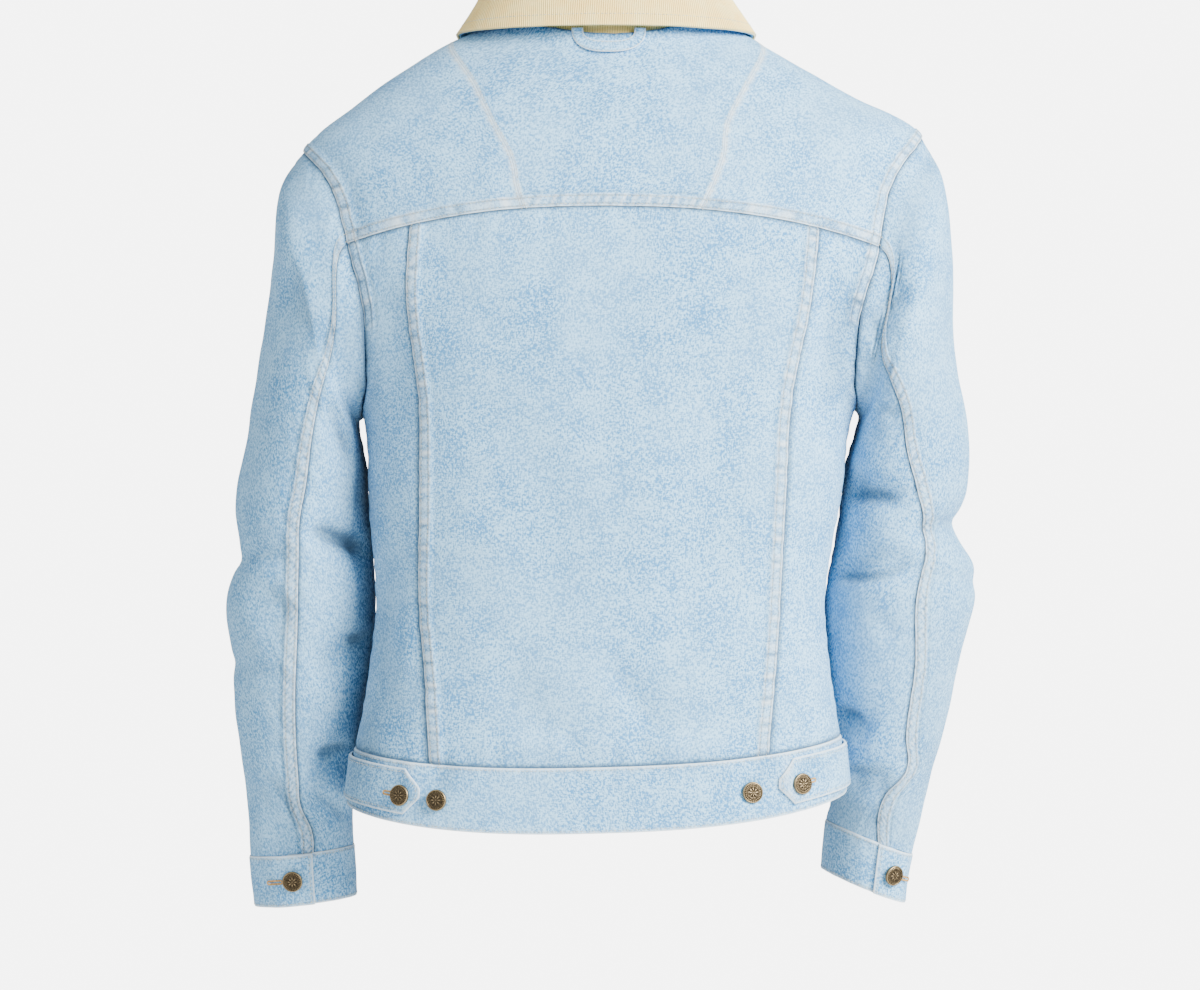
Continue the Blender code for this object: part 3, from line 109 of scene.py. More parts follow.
TORSO_ROWS = [
    #        name      z_back  z_side  z_front half_w  y_mid   back   front  square  shift   tilt
    TorsoRow("hem",    -0.632, -0.610, -0.632, 0.2010, 0.010, 0.101, 0.125, 2.50,  0.008,  0.026),
    TorsoRow("band",   -0.580, -0.565, -0.582, 0.1950, 0.010, 0.100, 0.126, 2.50,  0.007,  0.026),
    TorsoRow("low",    -0.520, -0.515, -0.520, 0.1870, 0.013, 0.097, 0.130, 2.50,  0.006,  0.026),
    TorsoRow("waist",  -0.455, -0.455, -0.455, 0.1815, 0.015, 0.093, 0.133, 2.45,  0.0055, 0.026),
    TorsoRow("rib",    -0.365, -0.370, -0.370, 0.1905, 0.015, 0.098, 0.138, 2.40,  0.001,  0.026),
    TorsoRow("armpit", -0.285, -0.300, -0.300, 0.1990, 0.010, 0.106, 0.138, 2.40, -0.002,  0.020),
    TorsoRow("blade",  -0.200, -0.243, -0.235, 0.2330, 0.004, 0.114, 0.132, 2.35, -0.004,  0.004),
    TorsoRow("yoke",   -0.141, -0.189, -0.176, 0.2560, 0.000, 0.116, 0.120, 2.30, -0.005, -0.006),
    TorsoRow("upper",  -0.122, -0.134, -0.142, 0.2560, 0.000, 0.113, 0.111, 2.20, -0.005,  0.012),
    TorsoRow("tip",    -0.104, -0.083, -0.118, 0.2500, 0.000, 0.108, 0.101, 2.10, -0.005,  0.025),
    TorsoRow("slope",  -0.078, -0.047, -0.104, 0.2000, 0.000, 0.100, 0.094, 2.10,  0.003,  0.016),
    TorsoRow("ridge",  -0.047, -0.014, -0.091, 0.1480, 0.000, 0.088, 0.086, 2.05,  0.003,  0.006),
    TorsoRow("neck",    0.000,  0.021, -0.074, 0.0850, 0.000, 0.066, 0.075, 2.00, -0.002,  0.000),
]


class SleeveRow(NamedTuple):
    """One ring of a sleeve, given by its outermost and innermost points and its depth."""

    name: str
    x_out: float
    z_out: float
    x_in: float
    z_in: float
    y_mid: float
    half_depth: float


SLEEVE_ROWS = {
    LEFT: [
        #         name         x_out   z_out   x_in    z_in    y_mid   half_depth
        SleeveRow("cap",       0.2635, -0.118, 0.2010, -0.309,  0.002, 0.0800),
        SleeveRow("deltoid",   0.2700, -0.178, 0.1990, -0.325, -0.002, 0.0800),
        SleeveRow("bicep",     0.2800, -0.240, 0.1945, -0.346, -0.008, 0.0780),
        SleeveRow("arm",       0.2910, -0.312, 0.1930, -0.373, -0.014, 0.0740),
        SleeveRow("fold_high", 0.3030, -0.378, 0.1905, -0.408, -0.018, 0.0700),
        SleeveRow("fold",      0.3000, -0.410, 0.1893, -0.428, -0.020, 0.0670),
        SleeveRow("elbow",     0.3100, -0.448, 0.1880, -0.458, -0.022, 0.0650),
        SleeveRow("forearm",   0.3055, -0.505, 0.1935, -0.510, -0.030, 0.0600),
        SleeveRow("low",       0.3025, -0.568, 0.2030, -0.570, -0.041, 0.0530),
        SleeveRow("wrist",     0.2955, -0.620, 0.2080, -0.618, -0.050, 0.0470),
        SleeveRow("cuff_top",  0.2935, -0.664, 0.2085, -0.655, -0.056, 0.0430),
        SleeveRow("cuff_end",  0.2900, -0.706, 0.2070, -0.697, -0.059, 0.0415),
    ],
    RIGHT: [
        SleeveRow("cap",       0.2705, -0.109, 0.2048, -0.304,  0.002, 0.0800),
        SleeveRow("deltoid",   0.2795, -0.172, 0.2010, -0.320, -0.002, 0.0800),
        SleeveRow("bicep",     0.2815, -0.238, 0.1945, -0.342, -0.008, 0.0780),
        SleeveRow("arm",       0.2935, -0.310, 0.1912, -0.370, -0.014, 0.0740),
        SleeveRow("fold_high", 0.2940, -0.362, 0.1872, -0.402, -0.018, 0.0690),
        SleeveRow("fold",      0.2850, -0.392, 0.1835, -0.420, -0.020, 0.0665),
        SleeveRow("elbow",     0.3000, -0.425, 0.1790, -0.448, -0.024, 0.0650),
        SleeveRow("forearm",   0.2905, -0.500, 0.1800, -0.508, -0.034, 0.0600),
        SleeveRow("low",       0.2755, -0.568, 0.1840, -0.568, -0.048, 0.0530),
        SleeveRow("wrist",     0.2625, -0.620, 0.1870, -0.612, -0.060, 0.0490),
        SleeveRow("cuff_top",  0.2530, -0.664, 0.1830, -0.636, -0.070, 0.0450),
        SleeveRow("cuff_end",  0.2475, -0.705, 0.1790, -0.677, -0.076, 0.0435),
    ],
}


class ArmholePoint(NamedTuple):
    """A point of the armhole seam: its angle round the body and where it lies between two rings."""

    name: str
    angle: float
    lower_ring: str
    upper_ring: str
    share: float


ARMHOLE = [
    #            name           angle  lower     upper     share
    ArmholePoint("tip",          90.0, "upper",  "tip",    1.00),
    ArmholePoint("back_high",    76.5, "upper",  "tip",    0.45),
    ArmholePoint("yoke_corner",  70.5, "blade",  "yoke",   1.00),
    ArmholePoint("back_low",     71.5, "armpit", "blade",  0.75),
    ArmholePoint("under_back",   79.0, "armpit", "blade",  0.18),
    ArmholePoint("armpit",       91.0, "armpit", "blade",  0.00),
    ArmholePoint("under_front", 103.0, "armpit", "blade",  0.16),
    ArmholePoint("front_low",   112.0, "armpit", "blade",  0.75),
    ArmholePoint("front_mid",   113.0, "blade",  "yoke",   1.00),
    ArmholePoint("front_high",  104.5, "upper",  "tip",    0.40),
]


class SeamPoint(NamedTuple):
    """Where an up-and-down seam of the body crosses a ring: its x at the wearer's left and right."""

    ring: str
    left: float
    right: float


BACK_SEAM = [
    SeamPoint("band",   0.140, 0.127),
    SeamPoint("low",    0.143, 0.132),
    SeamPoint("waist",  0.149, 0.137),
    SeamPoint("rib",    0.148, 0.141),
    SeamPoint("armpit", 0.149, 0.146),
    SeamPoint("blade",  0.158, 0.161),
    SeamPoint("yoke",   0.155, 0.167),
]


class SeenPoint(NamedTuple):
    """A place on a seam that is seen from behind: its height and its x at the left and the right."""

    z_left: float
    x_left: float
    z_right: float
    x_right: float


YOKE_SEAM = [
    #         z_left  x_left  z_right x_right
    SeenPoint(-0.142, 0.065, -0.140, 0.073),
    SeenPoint(-0.082, 0.085, -0.082, 0.093),
    SeenPoint(-0.048, 0.102, -0.046, 0.108),
]
YOKE_SEAM_END = 0.14          # share of the shoulder seam, from the neck, at which a yoke seam ends
ARMPIT_ANGLE = 91.0           # of the side seam and the armhole's lowest point
SHOULDER_SEAM_ANGLE = 101.0   # at the neck and at the armhole, a little in front of the ridge
SHOULDER_GAP = 0.0014         # radians between the shoulder seam and the pieces on each side

SLEEVE_BACK_SEAM = [
    #         z_left  x_left  z_right x_right
    SeenPoint(-0.176, 0.2068, -0.172, 0.2171),
    SeenPoint(-0.197, 0.2100, -0.190, 0.2225),
    SeenPoint(-0.218, 0.2131, -0.210, 0.2230),
    SeenPoint(-0.243, 0.2161, -0.235, 0.2180),
    SeenPoint(-0.267, 0.2215, -0.250, 0.2180),
    SeenPoint(-0.291, 0.2283, -0.275, 0.2251),
    SeenPoint(-0.323, 0.2347, -0.302, 0.2345),
    SeenPoint(-0.358, 0.2395, -0.333, 0.2390),
    SeenPoint(-0.391, 0.2455, -0.362, 0.2473),
    SeenPoint(-0.417, 0.2463, -0.388, 0.2533),
    SeenPoint(-0.471, 0.2478, -0.419, 0.2550),
    SeenPoint(-0.534, 0.2511, -0.446, 0.2486),
    SeenPoint(-0.570, 0.2511, -0.505, 0.2482),
    SeenPoint(-0.598, 0.2499, -0.563, 0.2421),
    SeenPoint(-0.621, 0.2482, -0.592, 0.2428),
    SeenPoint(-0.638, 0.2408, -0.613, 0.2263),
    SeenPoint(-0.675, 0.2396, -0.664, 0.2220),
]
SLEEVE_UNDER_SHIFT = 14.0     # degrees that the seam towards the body turns to the front


class CollarRow(NamedTuple):
    """One line of the collar, from the neck seam over the roll to the edge of the fall."""

    name: str
    half_width: float
    back: float
    front: float
    z_back: float
    z_side: float
    z_front: float
    end_angle: float
    shift: float


COLLAR_ROWS = [
    #         name      half_w   back    front   z_back  z_side  z_front  end    shift
    CollarRow("seam",   0.0803, 0.0615, 0.0706, -0.0030, 0.0190, -0.0765, 177.0, -0.0020),
    CollarRow("stand",  0.0790, 0.0600, 0.0690,  0.022,  0.041, -0.052, 176.5, -0.0010),
    CollarRow("inner",  0.0785, 0.0592, 0.0690,  0.038,  0.053, -0.038, 175.5,  0.0000),
    CollarRow("roll",   0.0850, 0.0650, 0.0740,  0.046,  0.060, -0.032, 173.0,  0.0010),
    CollarRow("outer",  0.0930, 0.0712, 0.0815,  0.039,  0.052, -0.038, 169.0,  0.0020),
    CollarRow("fall",   0.1060, 0.0755, 0.0970,  0.022,  0.030, -0.073, 160.0,  0.0015),
    CollarRow("edge",   0.1220, 0.0800, 0.1160,  0.005,  0.0062, -0.124, 150.0,  0.0005),
]
COLLAR_UNDER_ROW = 7          # the row of the collar at which the denim layer below its fall begins
COLLAR_UNDER_END = 0.992
COLLAR_UNDER_EDGE = 0.0008


class Fold(NamedTuple):
    """A soft trough or ridge on one face of the cloth, from (a0, z0) to (a1, z1).

    Along the back and front a is x, and along the outer and inner sides it is y. bend pushes the
    middle sideways. depth is negative in a trough.
    """

    part: str
    face: str
    a0: float
    z0: float
    a1: float
    z1: float
    bend: float
    width: float
    depth: float


LARGE_FOLDS = [
    #    part            face     a0      z0      a1      z1     bend   width   depth
    # hollows beside the shoulder blades, and the cloth that blouses over the waistband
    Fold("torso",        "back",  0.176, -0.200,  0.168, -0.330,  0.006, 0.016, -0.0050),
    Fold("torso",        "back", -0.176, -0.195, -0.172, -0.320,  0.004, 0.015, -0.0060),
    Fold("torso",        "back",  0.160, -0.390,  0.176, -0.545, -0.010, 0.015, -0.0045),
    Fold("torso",        "back", -0.085, -0.250, -0.060, -0.470,  0.012, 0.030, -0.0028),
    Fold("torso",        "back",  0.075, -0.300,  0.040, -0.480,  0.010, 0.028, -0.0022),
    Fold("torso",        "back",  0.002, -0.495, -0.036, -0.556,  0.006, 0.016, -0.0032),
    Fold("torso",        "back",  0.085, -0.500,  0.030, -0.562, -0.006, 0.018, -0.0028),
    Fold("torso",        "back",  0.120, -0.568, -0.120, -0.571,  0.006, 0.010,  0.0030),
    Fold("torso",        "front", 0.110, -0.200,  0.080, -0.400,  0.010, 0.028, -0.0035),
    Fold("torso",        "front",-0.110, -0.190, -0.075, -0.380,  0.012, 0.026, -0.0035),
    Fold("torso",        "front", 0.100, -0.440,  0.040, -0.555,  0.010, 0.024, -0.0035),
    Fold("torso",        "front",-0.095, -0.450, -0.045, -0.560, -0.010, 0.022, -0.0035),
    # left sleeve: a slanting fold below the shoulder and the slack at its inner bend
    Fold("sleeve_left",  "back",  0.262, -0.182,  0.238, -0.262, -0.004, 0.016, -0.0045),
    Fold("sleeve_left",  "back",  0.228, -0.290,  0.196, -0.345,  0.004, 0.014, -0.0055),
    Fold("sleeve_left",  "back",  0.240, -0.398,  0.188, -0.416,  0.003, 0.013, -0.0075),
    Fold("sleeve_left",  "back",  0.290, -0.442,  0.262, -0.480,  0.003, 0.014, -0.0040),
    Fold("sleeve_left",  "back",  0.236, -0.515,  0.194, -0.482,  0.004, 0.014, -0.0055),
    Fold("sleeve_left",  "back",  0.244, -0.598,  0.212, -0.577,  0.003, 0.014, -0.0060),
    Fold("sleeve_left",  "back",  0.290, -0.602,  0.262, -0.652,  0.004, 0.013, -0.0040),
    Fold("sleeve_left",  "front", 0.292, -0.360,  0.215, -0.430,  0.014, 0.015, -0.0060),
    Fold("sleeve_left",  "front", 0.296, -0.440,  0.210, -0.455, -0.012, 0.014, -0.0060),
    Fold("sleeve_left",  "front", 0.280, -0.540,  0.225, -0.590,  0.008, 0.014, -0.0045),
    # right sleeve: the deep crease below the yoke corner, and the folds of the bent elbow
    Fold("sleeve_right", "back", -0.232, -0.196, -0.206, -0.242,  0.002, 0.012, -0.0085),
    Fold("sleeve_right", "back", -0.240, -0.222, -0.214, -0.262,  0.002, 0.013,  0.0035),
    Fold("sleeve_right", "back", -0.236, -0.296, -0.200, -0.326,  0.004, 0.016, -0.0045),
    Fold("sleeve_right", "back", -0.244, -0.374, -0.184, -0.348,  0.006, 0.013, -0.0075),
    Fold("sleeve_right", "back", -0.252, -0.428, -0.180, -0.431, -0.009, 0.012, -0.0060),
    Fold("sleeve_right", "back", -0.216, -0.558, -0.184, -0.547,  0.003, 0.014, -0.0060),
    Fold("sleeve_right", "back", -0.232, -0.604, -0.196, -0.598,  0.003, 0.013, -0.0060),
    Fold("sleeve_right", "front",-0.285, -0.350, -0.205, -0.405,  0.012, 0.015, -0.0065),
    Fold("sleeve_right", "front",-0.285, -0.430, -0.200, -0.440, -0.012, 0.014, -0.0065),
    Fold("sleeve_right", "front",-0.262, -0.545, -0.205, -0.580,  0.008, 0.014, -0.0045),
]
# narrower creases, which only the dressed cloth has
CREASES = [
    Fold("torso",        "back",  0.128, -0.571,  0.140, -0.600,  0.003, 0.010, -0.0026),
    Fold("torso",        "back",  0.155, -0.570,  0.150, -0.592, -0.002, 0.008,  0.0020),
    Fold("torso",        "back", -0.118, -0.568, -0.110, -0.606,  0.004, 0.010, -0.0030),
    Fold("torso",        "back", -0.140, -0.570, -0.150, -0.612, -0.004, 0.009,  0.0026),
    Fold("torso",        "back", -0.160, -0.575, -0.158, -0.600,  0.002, 0.008, -0.0026),
    #    part            face     a0      z0      a1      z1     bend   width   depth
    Fold("sleeve_right", "back", -0.183, -0.351, -0.198, -0.370,  0.001, 0.0050, -0.0044),
    Fold("sleeve_right", "back", -0.192, -0.368, -0.232, -0.372,  0.002, 0.0050, -0.0042),
    Fold("sleeve_right", "back", -0.176, -0.385, -0.184, -0.398,  0.001, 0.0060, -0.0032),
    Fold("sleeve_right", "back", -0.175, -0.428, -0.243, -0.425, -0.008, 0.0050, -0.0046),
    Fold("sleeve_right", "back", -0.210, -0.296, -0.230, -0.305,  0.001, 0.0060, -0.0022),
    Fold("sleeve_right", "back", -0.179, -0.542, -0.208, -0.550,  0.001, 0.0050, -0.0036),
    Fold("sleeve_right", "back", -0.186, -0.590, -0.226, -0.595,  0.001, 0.0050, -0.0030),
    Fold("sleeve_right", "back", -0.214, -0.462, -0.232, -0.486,  0.002, 0.0080, -0.0022),
    Fold("sleeve_right", "outer", -0.040, -0.386, 0.095, -0.394,  0.003, 0.0070, -0.0034),
    Fold("sleeve_right", "outer", -0.050, -0.438, 0.060, -0.428,  0.003, 0.0080, -0.0026),
    Fold("sleeve_right", "front", -0.205, -0.372, -0.262, -0.392,  0.004, 0.0060, -0.0044),
    Fold("sleeve_right", "front", -0.196, -0.418, -0.270, -0.410, -0.006, 0.0060, -0.0048),
    Fold("sleeve_right", "front", -0.206, -0.500, -0.240, -0.516,  0.003, 0.0070, -0.0030),
    Fold("sleeve_right", "front", -0.188, -0.582, -0.226, -0.590,  0.002, 0.0060, -0.0030),
    Fold("sleeve_left",  "back",  0.256, -0.183,  0.232, -0.242, -0.002, 0.0090, -0.0026),
    Fold("sleeve_left",  "back",  0.200, -0.273,  0.193, -0.297,  0.001, 0.0050, -0.0028),
    Fold("sleeve_left",  "back",  0.207, -0.317,  0.190, -0.340,  0.001, 0.0050, -0.0034),
    Fold("sleeve_left",  "back",  0.237, -0.396,  0.187, -0.413,  0.002, 0.0055, -0.0048),
    Fold("sleeve_left",  "back",  0.207, -0.487,  0.187, -0.479,  0.001, 0.0050, -0.0030),
    Fold("sleeve_left",  "back",  0.276, -0.438,  0.254, -0.469,  0.002, 0.0070, -0.0028),
    Fold("sleeve_left",  "back",  0.233, -0.581,  0.207, -0.570,  0.001, 0.0055, -0.0048),
    Fold("sleeve_left",  "back",  0.278, -0.596,  0.252, -0.642,  0.004, 0.0060, -0.0034),
    Fold("sleeve_left",  "back",  0.240, -0.605,  0.212, -0.632,  0.001, 0.0060, -0.0034),
    Fold("sleeve_left",  "outer", -0.040, -0.420, 0.090, -0.408,  0.003, 0.0070, -0.0032),
    Fold("sleeve_left",  "outer", -0.050, -0.500, 0.060, -0.512,  0.003, 0.0080, -0.0024),
    Fold("sleeve_left",  "front", 0.214, -0.380,  0.270, -0.372, -0.005, 0.0060, -0.0044),
    Fold("sleeve_left",  "front", 0.205, -0.448,  0.276, -0.436, -0.004, 0.0060, -0.0046),
    Fold("sleeve_left",  "front", 0.214, -0.546,  0.250, -0.560,  0.003, 0.0070, -0.0030),
    Fold("torso",        "back",  0.001, -0.501, -0.034, -0.551,  0.002, 0.0080, -0.0016),
    Fold("torso",        "back",  0.038, -0.556,  0.016, -0.567,  0.001, 0.0060, -0.0018),
    Fold("torso",        "back", -0.015, -0.562, -0.038, -0.571,  0.001, 0.0060, -0.0018),
    Fold("torso",        "back", -0.073, -0.592, -0.090, -0.595,  0.000, 0.0050, -0.0011),
    Fold("torso",        "back", -0.102, -0.592, -0.119, -0.595,  0.000, 0.0050, -0.0011),
    Fold("torso",        "back",  0.150, -0.440,  0.158, -0.540,  0.006, 0.0080, -0.0018),
    Fold("torso",        "back", -0.158, -0.380, -0.146, -0.500,  0.005, 0.0080, -0.0018),
    Fold("torso",        "back",  0.208, -0.113,  0.204, -0.168,  0.002, 0.0090, -0.0016),
    Fold("torso",        "front", 0.080, -0.505,  0.050, -0.556,  0.003, 0.0080, -0.0024),
    Fold("torso",        "front", -0.070, -0.512, -0.098, -0.560, 0.003, 0.0080, -0.0024),
    Fold("torso",        "front", 0.150, -0.215,  0.110, -0.285,  0.004, 0.0090, -0.0024),
    Fold("torso",        "front", -0.150, -0.205, -0.108, -0.280, 0.004, 0.0090, -0.0024),
]


TAB_HEIGHT = 0.036
TAB_TIP_HEIGHT = 0.007
TAB_TIP_LENGTH = 0.012
TAB_WALL = 0.0020
TAB_ROOT_ANGLE = 95.0
TAB_MIDDLE = 0.52             # share of the waistband's height, from the hem
TAB_SLACK = 0.0030            # the buttoned tab stands off the band near its root
TAB_SLACK_ANGLE = 79.0
TAB_TIP_X = {LEFT: 0.147, RIGHT: 0.134}
WAIST_BUTTON_X = {LEFT: (0.161, 0.133), RIGHT: (0.151, 0.114)}
WAIST_BUTTON_HEIGHT = 0.45    # share of the waistband's height, from the hem

FRONT_EDGE_X = -0.0250          # where the two fronts meet, below the strip's free edge
PLACKET_MARKS = (0.0147, 0.0294, 0.0440)
PLACKET_WALL = 0.0020
FRONT_BUTTONS = 5
FRONT_BUTTON_X = -0.0030
WAISTBAND_UNDER_ANGLE = -188.0
WAISTBAND_OVER_ANGLE = 189.0
WAISTBAND_RISE_ANGLE = 162.0

CUFF_FLAP_ANGLE = {LEFT: 104.0, RIGHT: 82.0}
CUFF_OVERLAP = 26.0           # degrees
CUFF_BUTTON_BACK = 21.0       # degrees from the flap's edge to the button

LOOP_MIDDLE_X = -0.0015
LOOP_HALF_SPAN = 0.0250
LOOP_TOP = 0.0040
LOOP_DROP = 0.0155
LOOP_SQUARE = 2.6
LOOP_WIDTH = 0.0090
LOOP_WALL = 0.0015
LOOP_SLACK = 0.0022           # the middle of the loop hangs off the yoke
LOOP_SEAT = 0.0002


# ------------------------------------------------------------------ curves and noise


def hermite(knots: np.ndarray, at: np.ndarray) -> tuple[list[np.ndarray], np.ndarray]:
    """Weights of a smooth curve's knots and tangents.

    Args:
        knots: increasing places of the table's rows.
        at: places at which the curve is wanted.

    Returns:
        Four weights for each place, and the index of the row before it.
    """
    step = np.diff(knots)
    at = np.clip(at, knots[0], knots[-1])
    i = np.clip(np.searchsorted(knots, at, side="right") - 1, 0, len(step) - 1)
    t = (at - knots[i]) / step[i]
    h = step[i]
    return [2 * t**3 - 3 * t**2 + 1, (t**3 - 2 * t**2 + t) * h, -2 * t**3 + 3 * t**2, (t**3 - t**2) * h], i


def tangents(knots: np.ndarray, values: np.ndarray) -> np.ndarray:
    """Slope of the smooth curve at each knot. The first axis of values runs along the knots."""
    step = np.diff(knots).reshape((-1,) + (1,) * (values.ndim - 1))
    slope = np.diff(values, axis=0) / step
    tangent = np.empty_like(values)
    tangent[0], tangent[-1] = slope[0], slope[-1]
    tangent[1:-1] = (slope[:-1] * step[1:] + slope[1:] * step[:-1]) / (step[:-1] + step[1:])
    return tangent


def through(knots: Sequence[float], values: Sequence, at: np.ndarray | float) -> np.ndarray:
    """Value of the smooth curve through a table at each place."""
    knots, values = np.asarray(knots, float), np.asarray(values, float)
    weights, i = hermite(knots, np.asarray(at, float))
    tangent = tangents(knots, values)
    w = [x[..., None] for x in weights] if values.ndim > 1 else weights
    return w[0] * values[i] + w[1] * tangent[i] + w[2] * values[i + 1] + w[3] * tangent[i + 1]


def ease(low: float, high: float, at: np.ndarray | float) -> np.ndarray:
    """0 below low, 1 above high and smooth between them."""
    t = np.clip((np.asarray(at, float) - low) / (high - low), 0.0, 1.0)
    return t * t * (3 - 2 * t)


def bell(at: np.ndarray | float, width: float) -> np.ndarray:
    """A soft bump of height 1 at zero."""
    return np.exp(-((np.asarray(at, float) / width) ** 2))


def unit(vectors: np.ndarray) -> np.ndarray:
    """The vectors at length 1."""
    return vectors / np.maximum(np.linalg.norm(vectors, axis=-1, keepdims=True), 1e-12)


def run_of(points: np.ndarray) -> np.ndarray:
    """Distance of each point along a polyline."""
    return np.concatenate([[0.0], np.cumsum(np.linalg.norm(np.diff(points, axis=0), axis=1))])


def cloud(points: np.ndarray, size: float, seed: float) -> np.ndarray:
    """Smooth noise from -1 to 1 at each point, with lumps of about this size in metres."""
    flat = points.reshape(-1, 3) / size + seed
    return np.array([noise.noise(p) for p in flat.tolist()]).reshape(points.shape[:-1])


def ripple(along: np.ndarray, pitch: float, seed: float) -> np.ndarray:
    """Uneven waves from -1 to 1 along a seam, of about this pitch."""
    t = 2 * math.pi * along / pitch
    waves = np.sin(t + seed) + 0.8 * np.sin(0.63 * t + 2.1 * seed) + 0.7 * np.sin(1.37 * t + 3.7 * seed)
    return waves / 2.0


def oval(angle: np.ndarray, half_width: Any, back: Any, front: Any, square: Any) -> tuple:
    """Point of an oval at a polar angle from its back, as x, y and how far it is to back or front."""
    s, c = np.sin(angle), np.cos(angle)
    depth = np.where(c >= 0, back, front)
    radius = ((np.abs(s) / half_width) ** square + (np.abs(c) / depth) ** square) ** (-1 / square)
    return radius * s, radius * c, (radius * c / depth) ** 2


def fold_offset(part: str, points: np.ndarray, normals: np.ndarray, folds: Sequence[Fold]) -> np.ndarray:
    """How far the folds of one part push each point along its normal.

    Args:
        part: torso, sleeve_left, sleeve_right or collar.
        points: points of the bare form.
        normals: its outward normals.
        folds: rows of a table of folds.

    Returns:
        Offsets in metres, negative in a trough.
    """
    total = np.zeros(points.shape[:-1])
    for fold in folds:
        if fold.part != part:
            continue
        axis, facing = 0, np.array([0.0, 1.0 if fold.face == "back" else -1.0, 0.0])
        if fold.face == "outer":
            axis, facing = 1, np.array([1.0 if part.endswith("left") else -1.0, 0.0, 0.0])
        towards = ease(0.10, 0.55, normals @ facing)
        across, height = points[..., axis], points[..., 2]
        run = np.array([fold.a1 - fold.a0, fold.z1 - fold.z0])
        length = np.linalg.norm(run)
        along = ((across - fold.a0) * run[0] + (height - fold.z0) * run[1]) / length**2
        side = ((across - fold.a0) * run[1] - (height - fold.z0) * run[0]) / length
        side = side - fold.bend * (1 - (2 * along - 1) ** 2)
        ends = ease(-0.15, 0.30, along) * (1 - ease(0.70, 1.15, along))
        total += fold.depth * towards * ends * bell(side, fold.width)
    return total


# ------------------------------------------------------------------ the forms that the cloth follows


class Form:
    """A curved sheet given by two parameters. Offsets are measured outwards from it."""

    part: str = ""
    turn: float = 1.0
    top: float = 1.0
    names: list[str]
    knots: np.ndarray
    step_a: float = 1e-3
    softness: float = 0.0011

    def bare(self, a: Any, b: Any) -> np.ndarray:
        """Points of the form without folds."""
        raise NotImplementedError

    def height(self, name: str, upper: str | None = None, share: float = 0.0) -> float:
        """The parameter b of a named ring, or of a place between two rings."""
        low = self.knots[self.names.index(name)]
        return low if upper is None else low + share * (self.knots[self.names.index(upper)] - low)

    def normal(self, a: Any, b: Any) -> np.ndarray:
        """Outward normal, from neighbouring points."""
        b = np.asarray(b, float)
        along_a = self.bare(a + self.step_a, b) - self.bare(a - self.step_a, b)
        along_b = self.bare(a, np.minimum(b + 2e-4, self.top)) - self.bare(a, np.maximum(b - 2e-4, 0.0))
        return unit(np.cross(along_b, along_a)) * self.turn

    def relief(self, base: np.ndarray, normal: np.ndarray) -> tuple[np.ndarray, np.ndarray]:
        """The folds, and the share of them that are narrow creases."""
        large = fold_offset(self.part, base, normal, LARGE_FOLDS)
        fine = fold_offset(self.part, base, normal, CREASES)
        soft = cloud(base, 0.060, 3.0) + 0.45 * cloud(base, 0.024, 9.0)
        return large + fine + self.softness * soft, fine + 0.5 * large

    def place(self, a: Any, b: Any, offset: Any = 0.0) -> np.ndarray:
        """Points of the folded cloth, moved out by offset."""
        base = self.bare(a, b)
        normal = self.normal(a, b)
        lift = self.relief(base, normal)[0] + offset
        return base + normal * np.asarray(lift)[..., None]


class Torso(Form):
    """The body of the jacket. a is the angle from the middle of the back, b the height along it."""

    part = "torso"

    def __init__(self) -> None:
        """Works out the height parameter of every ring."""
        self.names = [row.name for row in TORSO_ROWS]
        self.columns = np.array([row[1:] for row in TORSO_ROWS])
        marks = np.array([0.0, math.pi / 2, math.pi])
        rings = [self.ring(marks, np.tile(row, (3, 1))) for row in self.columns]
        steps = [np.linalg.norm(q - p, axis=1).mean() for p, q in zip(rings, rings[1:])]
        self.knots = np.concatenate([[0.0], np.cumsum(steps)])
        self.top = self.knots[-1]

    @staticmethod
    def ring(angle: np.ndarray, row: np.ndarray) -> np.ndarray:
        """Points of a ring whose table row is given for each of them."""
        z_back, z_side, z_front, half_width, y_mid, back, front, square, shift, tilt = np.moveaxis(row, -1, 0)
        x, y, reach = oval(angle, half_width, back, front, square)
        z_end = np.where(np.cos(angle) >= 0, z_back, z_front)
        return np.stack([x + shift, y + y_mid, z_side + (z_end - z_side) * reach - tilt * x], axis=-1)

    def bare(self, a: Any, b: Any) -> np.ndarray:
        """Points of the body without folds."""
        a, b = np.broadcast_arrays(np.asarray(a, float), np.asarray(b, float))
        return self.ring(a, through(self.knots, self.columns, b))

    def angle_at_x(self, x: Any, b: Any, face: str = "back") -> np.ndarray:
        """The angle at which the back or front of the ring at b has this x."""
        x, b = np.broadcast_arrays(np.asarray(x, float), np.asarray(b, float))
        side = np.sign(x + 1e-12)
        low, high = np.zeros(x.shape), np.full(x.shape, math.pi / 2)
        for _ in range(34):
            middle = (low + high) / 2
            angle = side * (middle if face == "back" else math.pi - middle)
            short = np.abs(self.bare(angle, b)[..., 0]) < np.abs(x)
            low, high = np.where(short, middle, low), np.where(short, high, middle)
        return side * (low if face == "back" else math.pi - low)

    def seen_at(self, x: float, z: float) -> np.ndarray:
        """The parameter pair of the place that is seen from behind at this x and z."""
        b = self.height("tip")
        for _ in range(30):
            b = np.clip(b, 0.0, self.top - 2e-4 if abs(x) < 0.05 else self.height("slope", "ridge", 0.6))
            a = self.angle_at_x(x, b)
            here, above = self.bare(a, b), self.bare(a, b + 1e-4)
            b = b + 0.8 * (z - here[2]) * 1e-4 / (above[2] - here[2])
        return np.array([float(a), float(b)])


